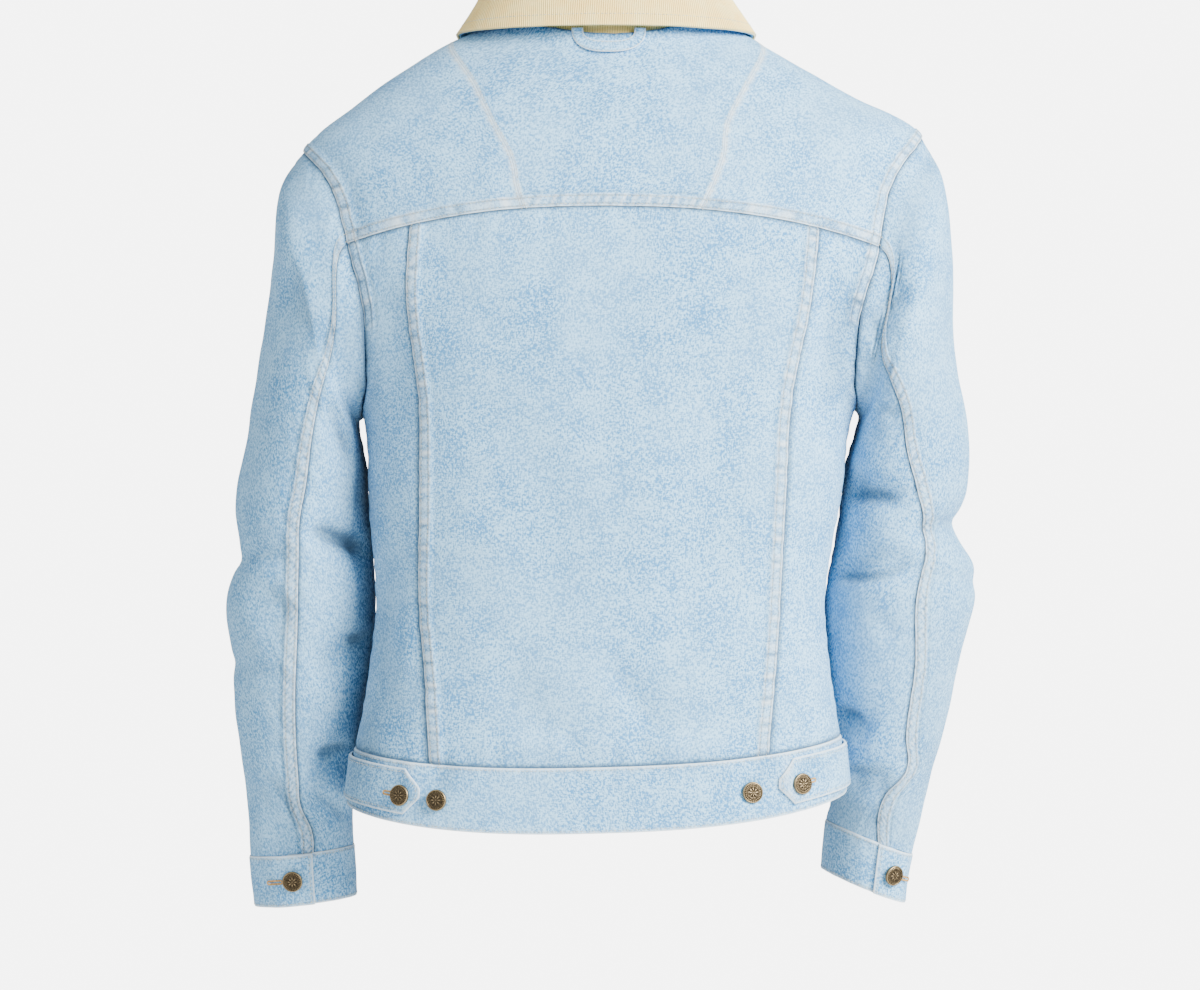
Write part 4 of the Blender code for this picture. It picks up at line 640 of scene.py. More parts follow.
class Armhole:
    """The closed seam between body and sleeve, from the shoulder tip down its back and up its front."""

    def __init__(self, torso: Torso, side: int) -> None:
        """Runs a smooth loop through the table of armhole points."""
        heights = [torso.height(p.lower_ring, p.upper_ring, p.share) for p in ARMHOLE]
        control = np.array([[math.radians(p.angle), h] for p, h in zip(ARMHOLE, heights)])
        control = np.vstack([control[-2:], control, control[:3]])
        control[:, 0] *= side
        knots = run_of(torso.bare(control[:, 0], control[:, 1]))
        at = np.linspace(knots[2], knots[2 + len(ARMHOLE)], 361)
        self.curve = through(knots, control, at)
        self.run = run_of(torso.bare(self.curve[:, 0], self.curve[:, 1]))
        self.lengths = {p.name: float(np.interp(knots[2 + k], at, self.run)) for k, p in enumerate(ARMHOLE)}
        self.lowest = self.lengths["armpit"]

    def at_length(self, length: Any) -> np.ndarray:
        """(angle, height) on the body at this distance along the seam from the shoulder tip."""
        length = np.mod(length, self.run[-1])
        return np.stack([np.interp(length, self.run, self.curve[:, k]) for k in (0, 1)], axis=-1)

    def to_degrees(self, length: Any) -> np.ndarray:
        """Degrees round the sleeve: 0 at the shoulder tip, 180 at the armpit, negative at the front."""
        over = (self.run[-1] - self.lowest) / 180.0
        return np.where(length < 0, length / over, 180.0 * np.asarray(length) / self.lowest)

    def to_length(self, degrees: Any) -> np.ndarray:
        """The inverse of to_degrees, once round."""
        degrees = np.mod(degrees, 360.0)
        over = (self.run[-1] - self.lowest) / 180.0
        return np.where(degrees <= 180, degrees * self.lowest / 180, self.lowest + (degrees - 180) * over)

    def yoke_marks(self) -> np.ndarray:
        """Distances of the yoke's rows along the seam, from the yoke's back corner over the tip."""
        start, end = self.lengths["yoke_corner"], self.lengths["front_high"] - self.run[-1]
        return start - spread(start - end, Grid.YOKE.value, BAND_MARKS)

    def side_marks(self) -> np.ndarray:
        """Distances of the side panel's rows, from the armpit up to the yoke's corner."""
        return np.linspace(self.lowest, self.lengths["yoke_corner"], Grid.SIDE_ARMHOLE.value + 1)

    def front_marks(self) -> np.ndarray:
        """Distances of the front panel's rows, from the armpit up to the shoulder seam."""
        return np.linspace(self.lowest, self.lengths["front_high"], Grid.FRONT_ARMHOLE.value + 1)


class Sleeve(Form):
    """One sleeve. a is the angle in degrees from its outermost point over the back, b runs down it."""

    step_a = 0.05
    softness = 0.0014

    def __init__(self, torso: Torso, side: int) -> None:
        """Places the rings below the armhole."""
        self.side, self.torso, self.turn = side, torso, float(side)
        self.part = "sleeve_" + SIDE_NAME[side]
        self.armhole = Armhole(torso, side)
        self.rows = SLEEVE_ROWS[side]
        self.names = ["armhole"] + [row.name for row in self.rows]
        rings = self.rings(np.array([0.0, 90.0, 180.0, 270.0]))
        steps = np.linalg.norm(np.diff(rings, axis=0), axis=2).mean(axis=1)
        self.knots = np.concatenate([[0.0], np.cumsum(steps)])
        self.top = self.knots[-1]

    def rings(self, degrees: np.ndarray) -> np.ndarray:
        """Points of every ring at these angles, the armhole first."""
        seam = self.armhole.at_length(self.armhole.to_length(degrees))
        found = [self.torso.bare(seam[..., 0], seam[..., 1])]
        c, s = np.cos(np.radians(degrees)), np.sin(np.radians(degrees))
        for row in self.rows:
            x = self.side * ((row.x_out + row.x_in) / 2 + (row.x_out - row.x_in) / 2 * c)
            z = (row.z_out + row.z_in) / 2 + (row.z_out - row.z_in) / 2 * c
            found.append(np.stack([x, row.y_mid + row.half_depth * s, z], axis=-1))
        return np.array(found)

    def bare(self, a: Any, b: Any) -> np.ndarray:
        """Points of the sleeve without folds."""
        a, b = np.broadcast_arrays(np.asarray(a, float), np.asarray(b, float))
        rings = self.rings(a.ravel())
        weights, i = hermite(self.knots, b.ravel())
        tangent = tangents(self.knots, rings)
        n = np.arange(a.size)
        w = [weight[:, None] for weight in weights]
        points = w[0] * rings[i, n] + w[1] * tangent[i, n] + w[2] * rings[i + 1, n] + w[3] * tangent[i + 1, n]
        return points.reshape(a.shape + (3,))

    def back_seam(self, b: np.ndarray) -> np.ndarray:
        """Angle of the long back seam at these heights. It starts at the yoke's corner."""
        left = self.side == LEFT
        z = [p.z_left if left else p.z_right for p in SLEEVE_BACK_SEAM][::-1]
        x = [p.x_left if left else p.x_right for p in SLEEVE_BACK_SEAM][::-1]
        low, high = np.full(len(b), 20.0), np.full(len(b), 178.0)
        for _ in range(26):
            middle = (low + high) / 2
            point = self.bare(middle, b)
            outside = self.side * point[:, 0] > through(z, x, point[:, 2])
            low, high = np.where(outside, middle, low), np.where(outside, high, middle)
        start = float(self.armhole.to_degrees(self.armhole.lengths["yoke_corner"]))
        return start + (low - start) * ease(0.0, 0.02, b)

    def under_seam(self, b: np.ndarray) -> np.ndarray:
        """Angle of the long seam that faces the body."""
        return 180.0 + SLEEVE_UNDER_SHIFT * ease(0.0, self.height("arm"), b)


class Collar(Form):
    """The turned-down collar. a is a share from its right end to its left one, b runs over it."""

    part = "collar"
    turn = -1.0

    def __init__(self) -> None:
        """Works out the height parameter of every row."""
        self.names = [row.name for row in COLLAR_ROWS]
        self.columns = np.array([row[1:] for row in COLLAR_ROWS])
        self.knots = run_of(self.columns[:, [1, 3]])
        self.top = self.knots[-1]

    def bare(self, a: Any, b: Any) -> np.ndarray:
        """Points of the collar without its wales."""
        a, b = np.broadcast_arrays(np.asarray(a, float), np.asarray(b, float))
        row = np.moveaxis(through(self.knots, self.columns, b), -1, 0)
        half_width, back, front, z_back, z_side, z_front, end_angle, shift = row
        angle = np.radians(end_angle) * a
        x, y, reach = oval(angle, half_width, back, front, 2.0)
        z = z_side + (np.where(np.cos(angle) >= 0, z_back, z_front) - z_side) * reach
        return np.stack([x + shift, y, z], axis=-1)


# ------------------------------------------------------------------ grids and walls of cloth


def spread(length: float, count: int, first: Sequence[float] = (), last: Sequence[float] = ()) -> np.ndarray:
    """Distances from one edge to the other: count even steps, with the given ones near the edges."""
    start = first[-1] if len(first) else 0.0
    end = length - (last[-1] if len(last) else 0.0)
    even = [start + (end - start) * k / count for k in range(count + 1)]
    before = [0.0] + list(first[:-1]) if len(first) else []
    after = [length - d for d in reversed(last[:-1])] + [length] if len(last) else []
    return np.array(before + even + after)


def along_row(form: Form, a: np.ndarray, b: np.ndarray, columns_of: Callable) -> tuple:
    """Places at the wanted distances along a finely sampled line of the form."""
    run = run_of(form.bare(a, b))
    wanted = SEAM_GAP / 2 + columns_of(run[-1] - SEAM_GAP)
    return np.interp(wanted, run, a), np.interp(wanted, run, b)


def panel_grid(
    form: Form, bottom: Callable, top: Callable, left: np.ndarray, right: np.ndarray,
    columns_of: Callable, top_reach: float = 1.0,
) -> tuple[np.ndarray, np.ndarray]:
    """Parameter pairs of a grid over a four-sided region of the form.

    Args:
        form: the form that the panel follows.
        bottom: gives a pair for a share from left to right, and top does so for the upper edge.
        top: see bottom.
        left: pairs at the start of every row, from the bottom row up, and right at its end.
        right: see left.
        columns_of: distances of the columns across a row, from its length and its share up the panel.
        top_reach: a larger one keeps the bends of the top edge close to it.

    Returns:
        The two parameters as grids of rows and columns.
    """
    fine = np.linspace(0.0, 1.0, 97)
    s = fine[:, None]
    low = np.array([bottom(share) for share in fine])
    high = np.array([top(share) for share in fine])
    from_low = low - (1 - s) * low[0] - s * low[-1]
    from_high = high - (1 - s) * high[0] - s * high[-1]
    rows = []
    for t, start, end in zip(np.linspace(0.0, 1.0, len(left)), left, right):
        line = (1 - s) * start + s * end + (1 - t) * from_low + t**top_reach * from_high
        rows.append(along_row(form, line[:, 0], line[:, 1], lambda length, t=t: columns_of(length, t)))
    return np.array([row[0] for row in rows]), np.array([row[1] for row in rows])


def between(start: np.ndarray, end: np.ndarray) -> Callable:
    """Straight line between two parameter pairs, by a share from 0 to 1."""
    return lambda s: start + (end - start) * s


def polyline(*corners: tuple) -> Callable:
    """A function that runs through the corners. The shares of the corners are given with them."""
    places = np.array([share for share, _ in corners])
    pairs = np.array([pair for _, pair in corners])
    return lambda s: np.array([np.interp(s, places, pairs[:, k]) for k in (0, 1)])


def eased_columns(
    torso: Torso, line: Callable, counts: Sequence[tuple], first: Sequence = (), last: Sequence = ()
) -> Callable:
    """Distances of columns that are even low on a panel and meet the corners of its top edge.

    Args:
        torso: the form below the panel.
        line: the top edge, by a share from left to right.
        counts: the columns up to each corner, and that corner's share.
        first: fixed distances at the first edge, and last at the other one.
        last: see first.

    Returns:
        A function of a row's length and its share up the panel.
    """
    fine = np.linspace(0.0, 1.0, 241)
    pairs = np.array([line(s) for s in fine])
    run = run_of(torso.bare(*pairs.T))
    marks = [0.0]
    for index, (count, share) in enumerate(counts):
        start, end = marks[-1], float(np.interp(share, fine, run))
        ends = (first if index == 0 else (), last if index == len(counts) - 1 else ())
        marks += list(start + spread(end - start, count, *ends)[1:])
    marks = np.array(marks)
    total = len(marks) - 1

    def columns_of(length: float, t: float) -> np.ndarray:
        """Distances of the columns across one row."""
        weight = ease(0.45, 0.97, t)
        low = spread(length, total - len(first) - len(last), first, last)
        start = first[-1] if len(first) else 0.0
        end = last[-1] if len(last) else 0.0
        high = start + (marks - start) * (length - start - end) / (marks[-1] - start - end)
        high[: len(first) + 1] = low[: len(first) + 1]
        high[total - len(last) :] = low[total - len(last) :]
        return (1 - weight) * low + weight * high

    return columns_of


# Painted shade where the sleeves lie against the body, stronger on the wearer's left, away from the key light: where
# it is, and how strong.
GAP_X, GAP_WIDTH, GAP_TOP = 0.198, 0.024, -0.165
GAP_SHADE_LEFT, GAP_SHADE_RIGHT = 0.62, 0.36


class Edge(Enum):
    """An edge of a panel's grid."""

    START = "first column"
    END = "last column"
    LOW = "first row"
    HIGH = "last row"


class Hold(Enum):
    """How a piece of cloth is held."""

    HUNG = "hung"
    DRAPED = "draped"
    FOLDED = "folded"
    LAID = "laid"


@dataclass
class Panel:
    """One cut piece of cloth on a form.

    Args:
        name: its name, which is its solid's too.
        form: the form that it follows.
        a: parameters of its grid, with b.
        b: see a.
        bands: edges with a felled band of two rows of stitches.
        tucked: edges that end beside or below a neighbour's raised edge, with painted shade along them.
        folded: free edges with a worn fold.
        joined: edges of a flat seam that shows as a faint pale line.
        wall: thickness of the cloth.
        lift: how far the outer face stands out beyond the form.
        inner: how far the inner face's own base stands out.
        mask: share of the bands that is raised, at each point.
        seed: shifts the puckers.
    """

    name: str
    form: Form
    a: np.ndarray
    b: np.ndarray
    bands: tuple[Edge, ...] = ()
    tucked: tuple[Edge, ...] = ()
    folded: tuple[Edge, ...] = ()
    joined: tuple[Edge, ...] = ()
    wall: float = DENIM
    lift: Any = 0.0
    inner: Any = 0.0
    mask: Any = 1.0
    seed: float = 0.0
    flat: np.ndarray = field(init=False)
    u: np.ndarray = field(init=False)
    v: np.ndarray = field(init=False)

    def __post_init__(self) -> None:
        """Measures the flat cloth along its rows and columns."""
        self.flat = self.form.bare(self.a, self.b)
        zero = np.zeros_like(self.a)
        self.u, self.v = zero.copy(), zero.copy()
        self.u[:, 1:] = np.cumsum(np.linalg.norm(np.diff(self.flat, axis=1), axis=2), axis=1)
        self.v[1:] = np.cumsum(np.linalg.norm(np.diff(self.flat, axis=0), axis=2), axis=0)

    def distance(self, edge: Edge) -> np.ndarray:
        """Distance of every point from one edge."""
        return {Edge.START: self.u, Edge.END: self.u[:, -1:] - self.u,
                Edge.LOW: self.v, Edge.HIGH: self.v[-1:] - self.v}[edge]

    def along(self, edge: Edge) -> np.ndarray:
        """Distance of every point along one edge."""
        return self.v if edge in (Edge.START, Edge.END) else self.u

    def dress(self) -> tuple[np.ndarray, np.ndarray, np.ndarray]:
        """Rise of the sewn edges, how worn the cloth is there, and how dark: less faded dye and painted shade."""
        band, groove = np.zeros_like(self.a), np.zeros_like(self.a)
        pucker, worn, deep = groove.copy(), groove.copy(), groove.copy()
        for edge in self.bands:
            d, s = self.distance(edge), self.along(edge)
            flat_top = 1 - ease(LAP_WIDTH, LAP_WIDTH + LAP_STEP, d)
            band = np.maximum(band, flat_top * (LAP_RISE - 0.00035 * bell(d, 0.0008)))
            groove += sum(0.00022 * bell(d - row, 0.0006) for row in STITCH_ROWS)
            rope = ripple(s, 0.0068, self.seed + 1.0) * flat_top
            pucker += 0.00024 * rope * bell(d - 0.0048, 0.0045)
            pucker += 0.00055 * ripple(s, 0.021, self.seed) * bell(d - 0.004, 0.020)
            worn = np.maximum(worn, flat_top * (0.26 + 0.60 * np.clip(rope, 0.0, 1.0)))
            deep = np.maximum(deep, flat_top * (0.12 + 0.55 * np.clip(-rope, 0.0, 1.0)))
            worn = np.maximum(worn, 0.95 * bell(d, 0.0010) + 0.50 * bell(d - 0.0090, 0.0009))
            # darker along the stitch rows, and painted shade at the foot of the raised band
            deep = np.maximum(deep, 0.70 * sum(bell(d - row, 0.0008) for row in STITCH_ROWS))
            deep = np.maximum(deep, 0.50 * bell(d - 0.0120, 0.0015))
        rise, worn, deep = (band - groove + pucker) * self.mask, worn * self.mask, deep * self.mask
        for edge in self.tucked:
            d, s = self.distance(edge), self.along(edge)
            share = 1.0 - self.mask if edge in self.bands else 1.0
            rise = rise + share * 0.00050 * ripple(s, 0.019, self.seed + 2.0) * bell(d - 0.004, 0.016)
            rise = rise - share * 0.0003 * bell(d, 0.0012)
            # painted shade along an edge that lies under a neighbour's raised edge
            deep = np.maximum(deep, share * (0.85 * bell(d, 0.0013) + 0.30 * bell(d, 0.006)))
        for edge in self.joined:
            d, s = self.distance(edge), self.along(edge)
            rise = rise + 0.00035 * bell(d - 0.0016, 0.0022) + 0.00016 * ripple(s, 0.013, self.seed) * bell(d, 0.012)
            worn = np.maximum(worn, (0.95 + 0.3 * ripple(s, 0.009, self.seed)) * bell(d - 0.0008, 0.0014))
            deep = np.maximum(deep, 0.40 * bell(d - 0.0036, 0.0010))
        for edge in self.folded:
            d, s = self.distance(edge), self.along(edge)
            rise = rise + 0.00034 * ripple(s, 0.014, self.seed + 3.0) * bell(d - 0.005, 0.006)
            rise = rise - 0.00045 * bell(d, 0.0008)
            worn = np.maximum(worn, 0.95 * bell(d, 0.0012) + (0.2 + 0.2 * ripple(s, 0.008, 1.0)) * bell(d - 0.003, 0.003))
            deep = np.maximum(deep, 0.25 * bell(d - 0.0024, 0.0007))
        return rise, worn, deep

    def build(self, material: bpy.types.Material) -> bpy.types.Object:
        """Makes the wall of cloth with its UV map in metres, its wear and its painted shade."""
        rise, worn, deep = self.dress()
        normal = self.form.normal(self.a, self.b)
        relief, crease = self.form.relief(self.flat, normal)
        outer = self.flat + normal * (relief + rise + self.lift)[..., None]
        inner = self.flat + normal * (relief + self.inner - self.wall)[..., None]
        side, height = self.flat[..., 0], self.flat[..., 2]
        # painted shade between the sleeves and the body
        shade = bell(np.abs(side) - GAP_X, GAP_WIDTH) * ease(-GAP_TOP, 0.08 - GAP_TOP, -height)
        shade *= np.where(side > 0, GAP_SHADE_LEFT, GAP_SHADE_RIGHT) * (0.8 + 0.3 * cloud(self.flat, 0.05, 4.0))
        # adds the painted shade between sleeve and body, and painted shade in the crease troughs
        deep = np.clip(deep + shade + 0.52 * ease(0.0004, 0.0070, -crease), 0.0, 1.0)
        # paler on the crease ridges: wear, and a painted highlight
        worn = np.clip(worn + 0.55 * ease(0.0006, 0.0040, crease), 0.0, 1.0)
        return wall(f"{self.name}_cloth", outer, inner, np.stack([self.u, self.v], -1), {"worn": worn, "deep": deep}, material)

    def declare(self, piece: bpy.types.Object, held: Hold, rests_on: Sequence[str], slot: str = "denim") -> None:
        """Parents the piece to the root, hides the solid that it stands for and logs its cut size."""
        a, b, c = self.flat[:-1, :-1], self.flat[1:, :-1], self.flat[:-1, 1:]
        area = float(np.linalg.norm(np.cross(b - a, c - a), axis=-1).sum())
        width, length = float(self.u[:, -1].max()), float(self.v[-1].max())
        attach(piece, "root")
        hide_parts(self.name)
        area = min(max(area, 0.31 * width * length), width * length)
        log.info("%s: cut %.0f x %.0f mm, %d faces", self.name, width * 1e3, length * 1e3, len(piece.data.polygons))

    def line(self, edge: Edge, distance: float, sink: float = 0.0) -> np.ndarray:
        """Points of a row of stitches at a distance from one edge."""
        rise = self.dress()[0] + self.lift
        picked = []
        if edge in (Edge.START, Edge.END):
            for row in range(self.a.shape[0]):
                at = distance if edge is Edge.START else self.u[row, -1] - distance
                picked.append([np.interp(at, self.u[row], g[row]) for g in (self.a, self.b, rise)])
        else:
            for column in range(self.a.shape[1]):
                at = distance if edge is Edge.LOW else self.v[-1, column] - distance
                picked.append([np.interp(at, self.v[:, column], g[:, column]) for g in (self.a, self.b, rise)])
        a, b, offset = np.array(picked).T
        return self.form.place(a, b, offset - sink)


def wall(
    name: str, outer: np.ndarray, inner: np.ndarray, uv: np.ndarray, values: dict[str, np.ndarray],
    material: bpy.types.Material,
) -> bpy.types.Object:
    """A closed wall between two grids of points.

    Args:
        name: name of the new object.
        outer: grid of the outer face's points, and inner of the inner one's.
        inner: see outer.
        uv: grid of distances along and across the cloth, in metres.
        values: grids of named values for the finish.
        material: the cloth's finish.

    Returns:
        The object, linked to the scene.
    """
    rows, columns = outer.shape[:2]
    spot = np.arange(rows * columns).reshape(rows, columns)
    quads = np.stack([spot[:-1, :-1], spot[:-1, 1:], spot[1:, 1:], spot[1:, :-1]], -1).reshape(-1, 4)
    rim = np.concatenate([spot[0, :-1], spot[:-1, -1], spot[-1, :0:-1], spot[:0:-1, 0]])
    ends = np.roll(rim, -1)
    size = rows * columns
    faces = np.vstack([quads, quads[:, ::-1] + size, np.stack([rim, rim + size, ends + size, ends], -1)])
    points = np.vstack([outer.reshape(-1, 3), inner.reshape(-1, 3)])
    mesh = bpy.data.meshes.new(name)
    mesh.from_pydata(points.tolist(), [], faces.tolist())
    shell = bmesh.new()
    shell.from_mesh(mesh)
    if shell.calc_volume(signed=True) < 0:
        bmesh.ops.reverse_faces(shell, faces=shell.faces[:])
        shell.to_mesh(mesh)
    shell.free()
    for key, grid in values.items():
        mesh.attributes.new(key, "FLOAT", "POINT").data.foreach_set("value", np.tile(grid.ravel(), 2).astype(np.float32))
    corner = np.empty(len(mesh.loops), np.int32)
    mesh.loops.foreach_get("vertex_index", corner)
    layer = mesh.uv_layers.new(name="UVMap")
    layer.data.foreach_set("uv", uv.reshape(-1, 2)[corner % size].astype(np.float32).ravel())
    mesh.shade_smooth()
    mesh.set_sharp_from_angle(angle=math.radians(50))
    return add_object(name, mesh, material)


def add_object(name: str, mesh: bpy.types.Mesh, material: bpy.types.Material) -> bpy.types.Object:
    """Links a mesh to the scene as an object at the origin with one finish."""
    mesh.materials.clear()
    mesh.materials.append(material)
    piece = bpy.data.objects.new(name, mesh)
    bpy.context.scene.collection.objects.link(piece)
    return piece


# ------------------------------------------------------------------ body panels


@dataclass
class Body:
    """Back, side panels, yoke, fronts and button strip.

    Args:
        torso: the form of the body.
        armholes: the armhole seam of each side.
        denim: the cloth's finish.
        sewing: collects the rows of stitches.
    """

    torso: Torso
    armholes: dict[int, Armhole]
    denim: bpy.types.Material
    sewing: "Sewing"
    strip_marks: tuple[float, ...] = (
        0.0008, 0.0020, 0.0036, 0.0090, 0.0147, 0.0220, 0.0294, 0.0367, 0.0404, 0.0420, 0.0432, 0.0440
    )

    def back_seam(self, side: int) -> np.ndarray:
        """The seam between the back and its side panel, as one parameter pair for each row."""
        heights = np.array([self.torso.height(p.ring) for p in BACK_SEAM])
        xs = np.array([p.left if side == LEFT else -p.right for p in BACK_SEAM])
        b = np.linspace(heights[0] + SEAM_GAP / 2, heights[-1] - SEAM_GAP / 2, Grid.BACK.value + 1)
        return np.stack([self.torso.angle_at_x(through(heights, xs, b), b), b], axis=-1)

    def shoulder(self, side: int) -> tuple[np.ndarray, np.ndarray]:
        """Ends of the shoulder seam as parameter pairs: at the neck and at the armhole."""
        neck = np.array([side * math.radians(SHOULDER_SEAM_ANGLE), self.torso.height("neck") - SEAM_GAP / 2])
        return neck, self.armholes[side].at_length(self.armholes[side].lengths["front_high"])

    def yoke_seam(self, side: int) -> np.ndarray:
        """The slanting yoke seam, from the bottom of the yoke over the ridge to the shoulder seam."""
        torso = self.torso
        seen = [(p.x_left, p.z_left) if side == LEFT else (-p.x_right, p.z_right) for p in YOKE_SEAM]
        neck, tip = self.shoulder(side)
        pairs = np.array([torso.seen_at(x, z) for x, z in seen] + [neck + (tip - neck) * YOKE_SEAM_END])
        pairs[0, 1] = torso.height("yoke") + SEAM_GAP / 2
        knots = run_of(torso.bare(*pairs.T))
        line = through(knots, pairs, np.linspace(0.0, knots[-1], 61))
        run = run_of(torso.bare(*line.T))
        at = spread(run[-1], Grid.YOKE.value, BAND_MARKS)
        rows = np.stack([np.interp(at, run, line[:, k]) for k in (0, 1)], axis=-1)
        rows[-1, 0] -= side * SHOULDER_GAP / 2
        return rows

    def side_seam(self, side: int) -> np.ndarray:
        """The seam between side panel and front, from the waistband to the armpit."""
        low, high = self.torso.height("band") + SEAM_GAP / 2, self.torso.height("armpit")
        b = np.linspace(low, high, Grid.BACK.value - Grid.SIDE_ARMHOLE.value + 1)
        return np.stack([np.full(len(b), side * math.radians(ARMPIT_ANGLE)), b], axis=-1)

    @staticmethod
    def near_armhole(shape: tuple[int, int]) -> np.ndarray:
        """Share of the armhole's band: none on the rows where the sleeve meets the side."""
        low = Grid.BACK.value - Grid.SIDE_ARMHOLE.value + 21
        return np.tile(ease(low, low + 8, np.arange(shape[0]))[:, None], (1, shape[1]))

    def build_back(self) -> None:
        """The wide middle panel, which laps over both side panels."""
        left, right = self.back_seam(RIGHT), self.back_seam(LEFT)
        a, b = panel_grid(
            self.torso, between(left[0], right[0]), between(left[-1], right[-1]), left, right,
            lambda length, t: spread(length, 72, BAND_MARKS, BAND_MARKS),
        )
        panel = Panel("back_center", self.torso, a, b, (Edge.START, Edge.END), (Edge.LOW, Edge.HIGH))
        panel.declare(panel.build(self.denim), Hold.HUNG, ["yoke_center"])
        self.sewing.rows(panel, (Edge.START, Edge.END))

    def build_sides(self) -> None:
        """The narrow back panels between the back seam, the side seam and the armhole."""
        for side in (LEFT, RIGHT):
            seam, hole = self.back_seam(side), self.armholes[side]
            edge = np.vstack([self.side_seam(side), hole.at_length(hole.side_marks())[1:]])
            edge[-1, 1] -= SEAM_GAP / 2
            a, b = panel_grid(
                self.torso, between(seam[0], edge[0]), between(seam[-1], edge[-1]), seam, edge,
                lambda length, t: spread(length, 14, (), BAND_MARKS),
            )
            name = "back_side_" + SIDE_NAME[side]
            tucked = (Edge.START, Edge.LOW, Edge.HIGH, Edge.END)
            panel = Panel(name, self.torso, a, b, (Edge.END,), tucked, mask=self.near_armhole(a.shape), seed=side)
            panel.declare(panel.build(self.denim), Hold.HUNG, ["yoke_side_" + SIDE_NAME[side]])

    def build_yoke(self) -> None:
        """The yoke in three pieces, whose bottom band laps over the back and the side panels."""
        torso = self.torso
        seams = {side: self.yoke_seam(side) for side in (LEFT, RIGHT)}
        left, right = seams[RIGHT], seams[LEFT]
        neck = {side: self.shoulder(side)[0] - np.array([side * SHOULDER_GAP / 2, 0.0]) for side in (LEFT, RIGHT)}
        top = polyline((0.0, left[-1]), (0.15, neck[RIGHT]), (0.85, neck[LEFT]), (1.0, right[-1]))
        counts = ((Grid.SHOULDER.value, 0.15), (54, 0.85), (Grid.SHOULDER.value, 1.0))
        a, b = panel_grid(torso, between(left[0], right[0]), top, left, right, eased_columns(torso, top, counts))
        panel = Panel("yoke_center", torso, a, b, (Edge.LOW,), (Edge.HIGH,), (), (Edge.START, Edge.END))
        panel.declare(panel.build(self.denim), Hold.DRAPED, ["collar_top", "front_left", "front_right"])
        self.sewing.rows(panel, (Edge.LOW,))
        self.sewing.rows(panel, (Edge.START, Edge.END), (0.0016,))
        for side in (LEFT, RIGHT):
            seam, hole = seams[side], self.armholes[side]
            edge = hole.at_length(hole.yoke_marks())
            edge[0, 1] += SEAM_GAP / 2
            edge[-1, 0] -= side * SHOULDER_GAP / 2
            a, b = panel_grid(
                torso, between(seam[0], edge[0]), between(seam[-1], edge[-1]), seam, edge,
                lambda length, t: spread(length, Grid.YOKE_SIDE.value, (), BAND_MARKS),
            )
            name = "yoke_side_" + SIDE_NAME[side]
            panel = Panel(name, torso, a, b, (Edge.LOW, Edge.END), (), (), (Edge.START,), seed=2.0 * side)
            panel.declare(panel.build(self.denim), Hold.DRAPED, ["yoke_center", "front_" + SIDE_NAME[side]])
            self.sewing.rows(panel, (Edge.LOW, Edge.END))
            self.sewing.rows(panel, (Edge.START,), (0.0016,))

    def build_fronts(self) -> np.ndarray:
        """Plain front panels, and the button strip along the edge of the left one.

        Returns:
            Heights of the strip's rows.
        """
        torso = self.torso
        marks = self.strip_marks
        for side in (RIGHT, LEFT):
            hole = self.armholes[side]
            edge = np.vstack([self.side_seam(side), hole.at_length(hole.front_marks())[1:]])
            edge[-1, 0] += side * SHOULDER_GAP / 2
            opening = self.opening(edge, side)
            neck = self.shoulder(side)[0] + np.array([side * SHOULDER_GAP / 2, 0.0])
            seam_end = neck + (edge[-1] - neck) * YOKE_SEAM_END
            upper = polyline((0.0, opening[-1]), (0.35, neck), (0.55, seam_end), (1.0, edge[-1]))
            counts = ((Grid.NECK.value, 0.35), (Grid.SHOULDER.value, 0.55), (Grid.YOKE_SIDE.value, 1.0))
            columns_of = eased_columns(torso, upper, counts, marks, BAND_MARKS)
            a, b = panel_grid(torso, between(opening[0], edge[0]), upper, opening, edge, columns_of, 3.0)
            name = "front_" + SIDE_NAME[side]
            tucked = (Edge.START, Edge.LOW, Edge.HIGH, Edge.END)
            panel = Panel(name, torso, a, b, (Edge.END,), tucked, mask=self.near_armhole(a.shape), seed=3.0 * side)
            panel.declare(panel.build(self.denim), Hold.HUNG, ["yoke_side_" + SIDE_NAME[side]])
        columns = len(marks) + 1
        rise = PLACKET_WALL + SEAM_GAP
        relief = np.maximum(panel.dress()[0][:, :columns], 0.0)
        strip = Panel("front_placket", torso, a[:, :columns], b[:, :columns], (), (), (Edge.START, Edge.END),
                      wall=0.0, lift=rise + relief, inner=SEAM_GAP + relief)
        strip.declare(strip.build(self.denim), Hold.LAID, ["front_left"])
        self.sewing.rows(strip, (Edge.START, Edge.END), (0.0022,))
        return strip.b[:, columns // 2]

    def opening(self, edge: np.ndarray, side: int) -> np.ndarray:
        """The front edge of a front panel: one pair for each row, level with the side low down."""
        neck = self.torso.height("neck") - SEAM_GAP / 2
        level = Grid.BACK.value - Grid.SIDE_ARMHOLE.value + Grid.FRONT_LEVEL.value
        share = np.clip((np.arange(len(edge)) - level) / (len(edge) - 1 - level), 0.0, 1.0)
        b = edge[:, 1] + (neck - edge[-1, 1]) * share
        turned = 2 * math.pi if side == LEFT else 0.0
        return np.stack([self.torso.angle_at_x(np.full(len(b), FRONT_EDGE_X), b, "front") + turned, b], axis=-1)

    def build(self) -> np.ndarray:
        """Builds all body panels and returns the heights of the button strip's rows."""
        self.build_back()
        self.build_sides()
        self.build_yoke()
        return self.build_fronts()


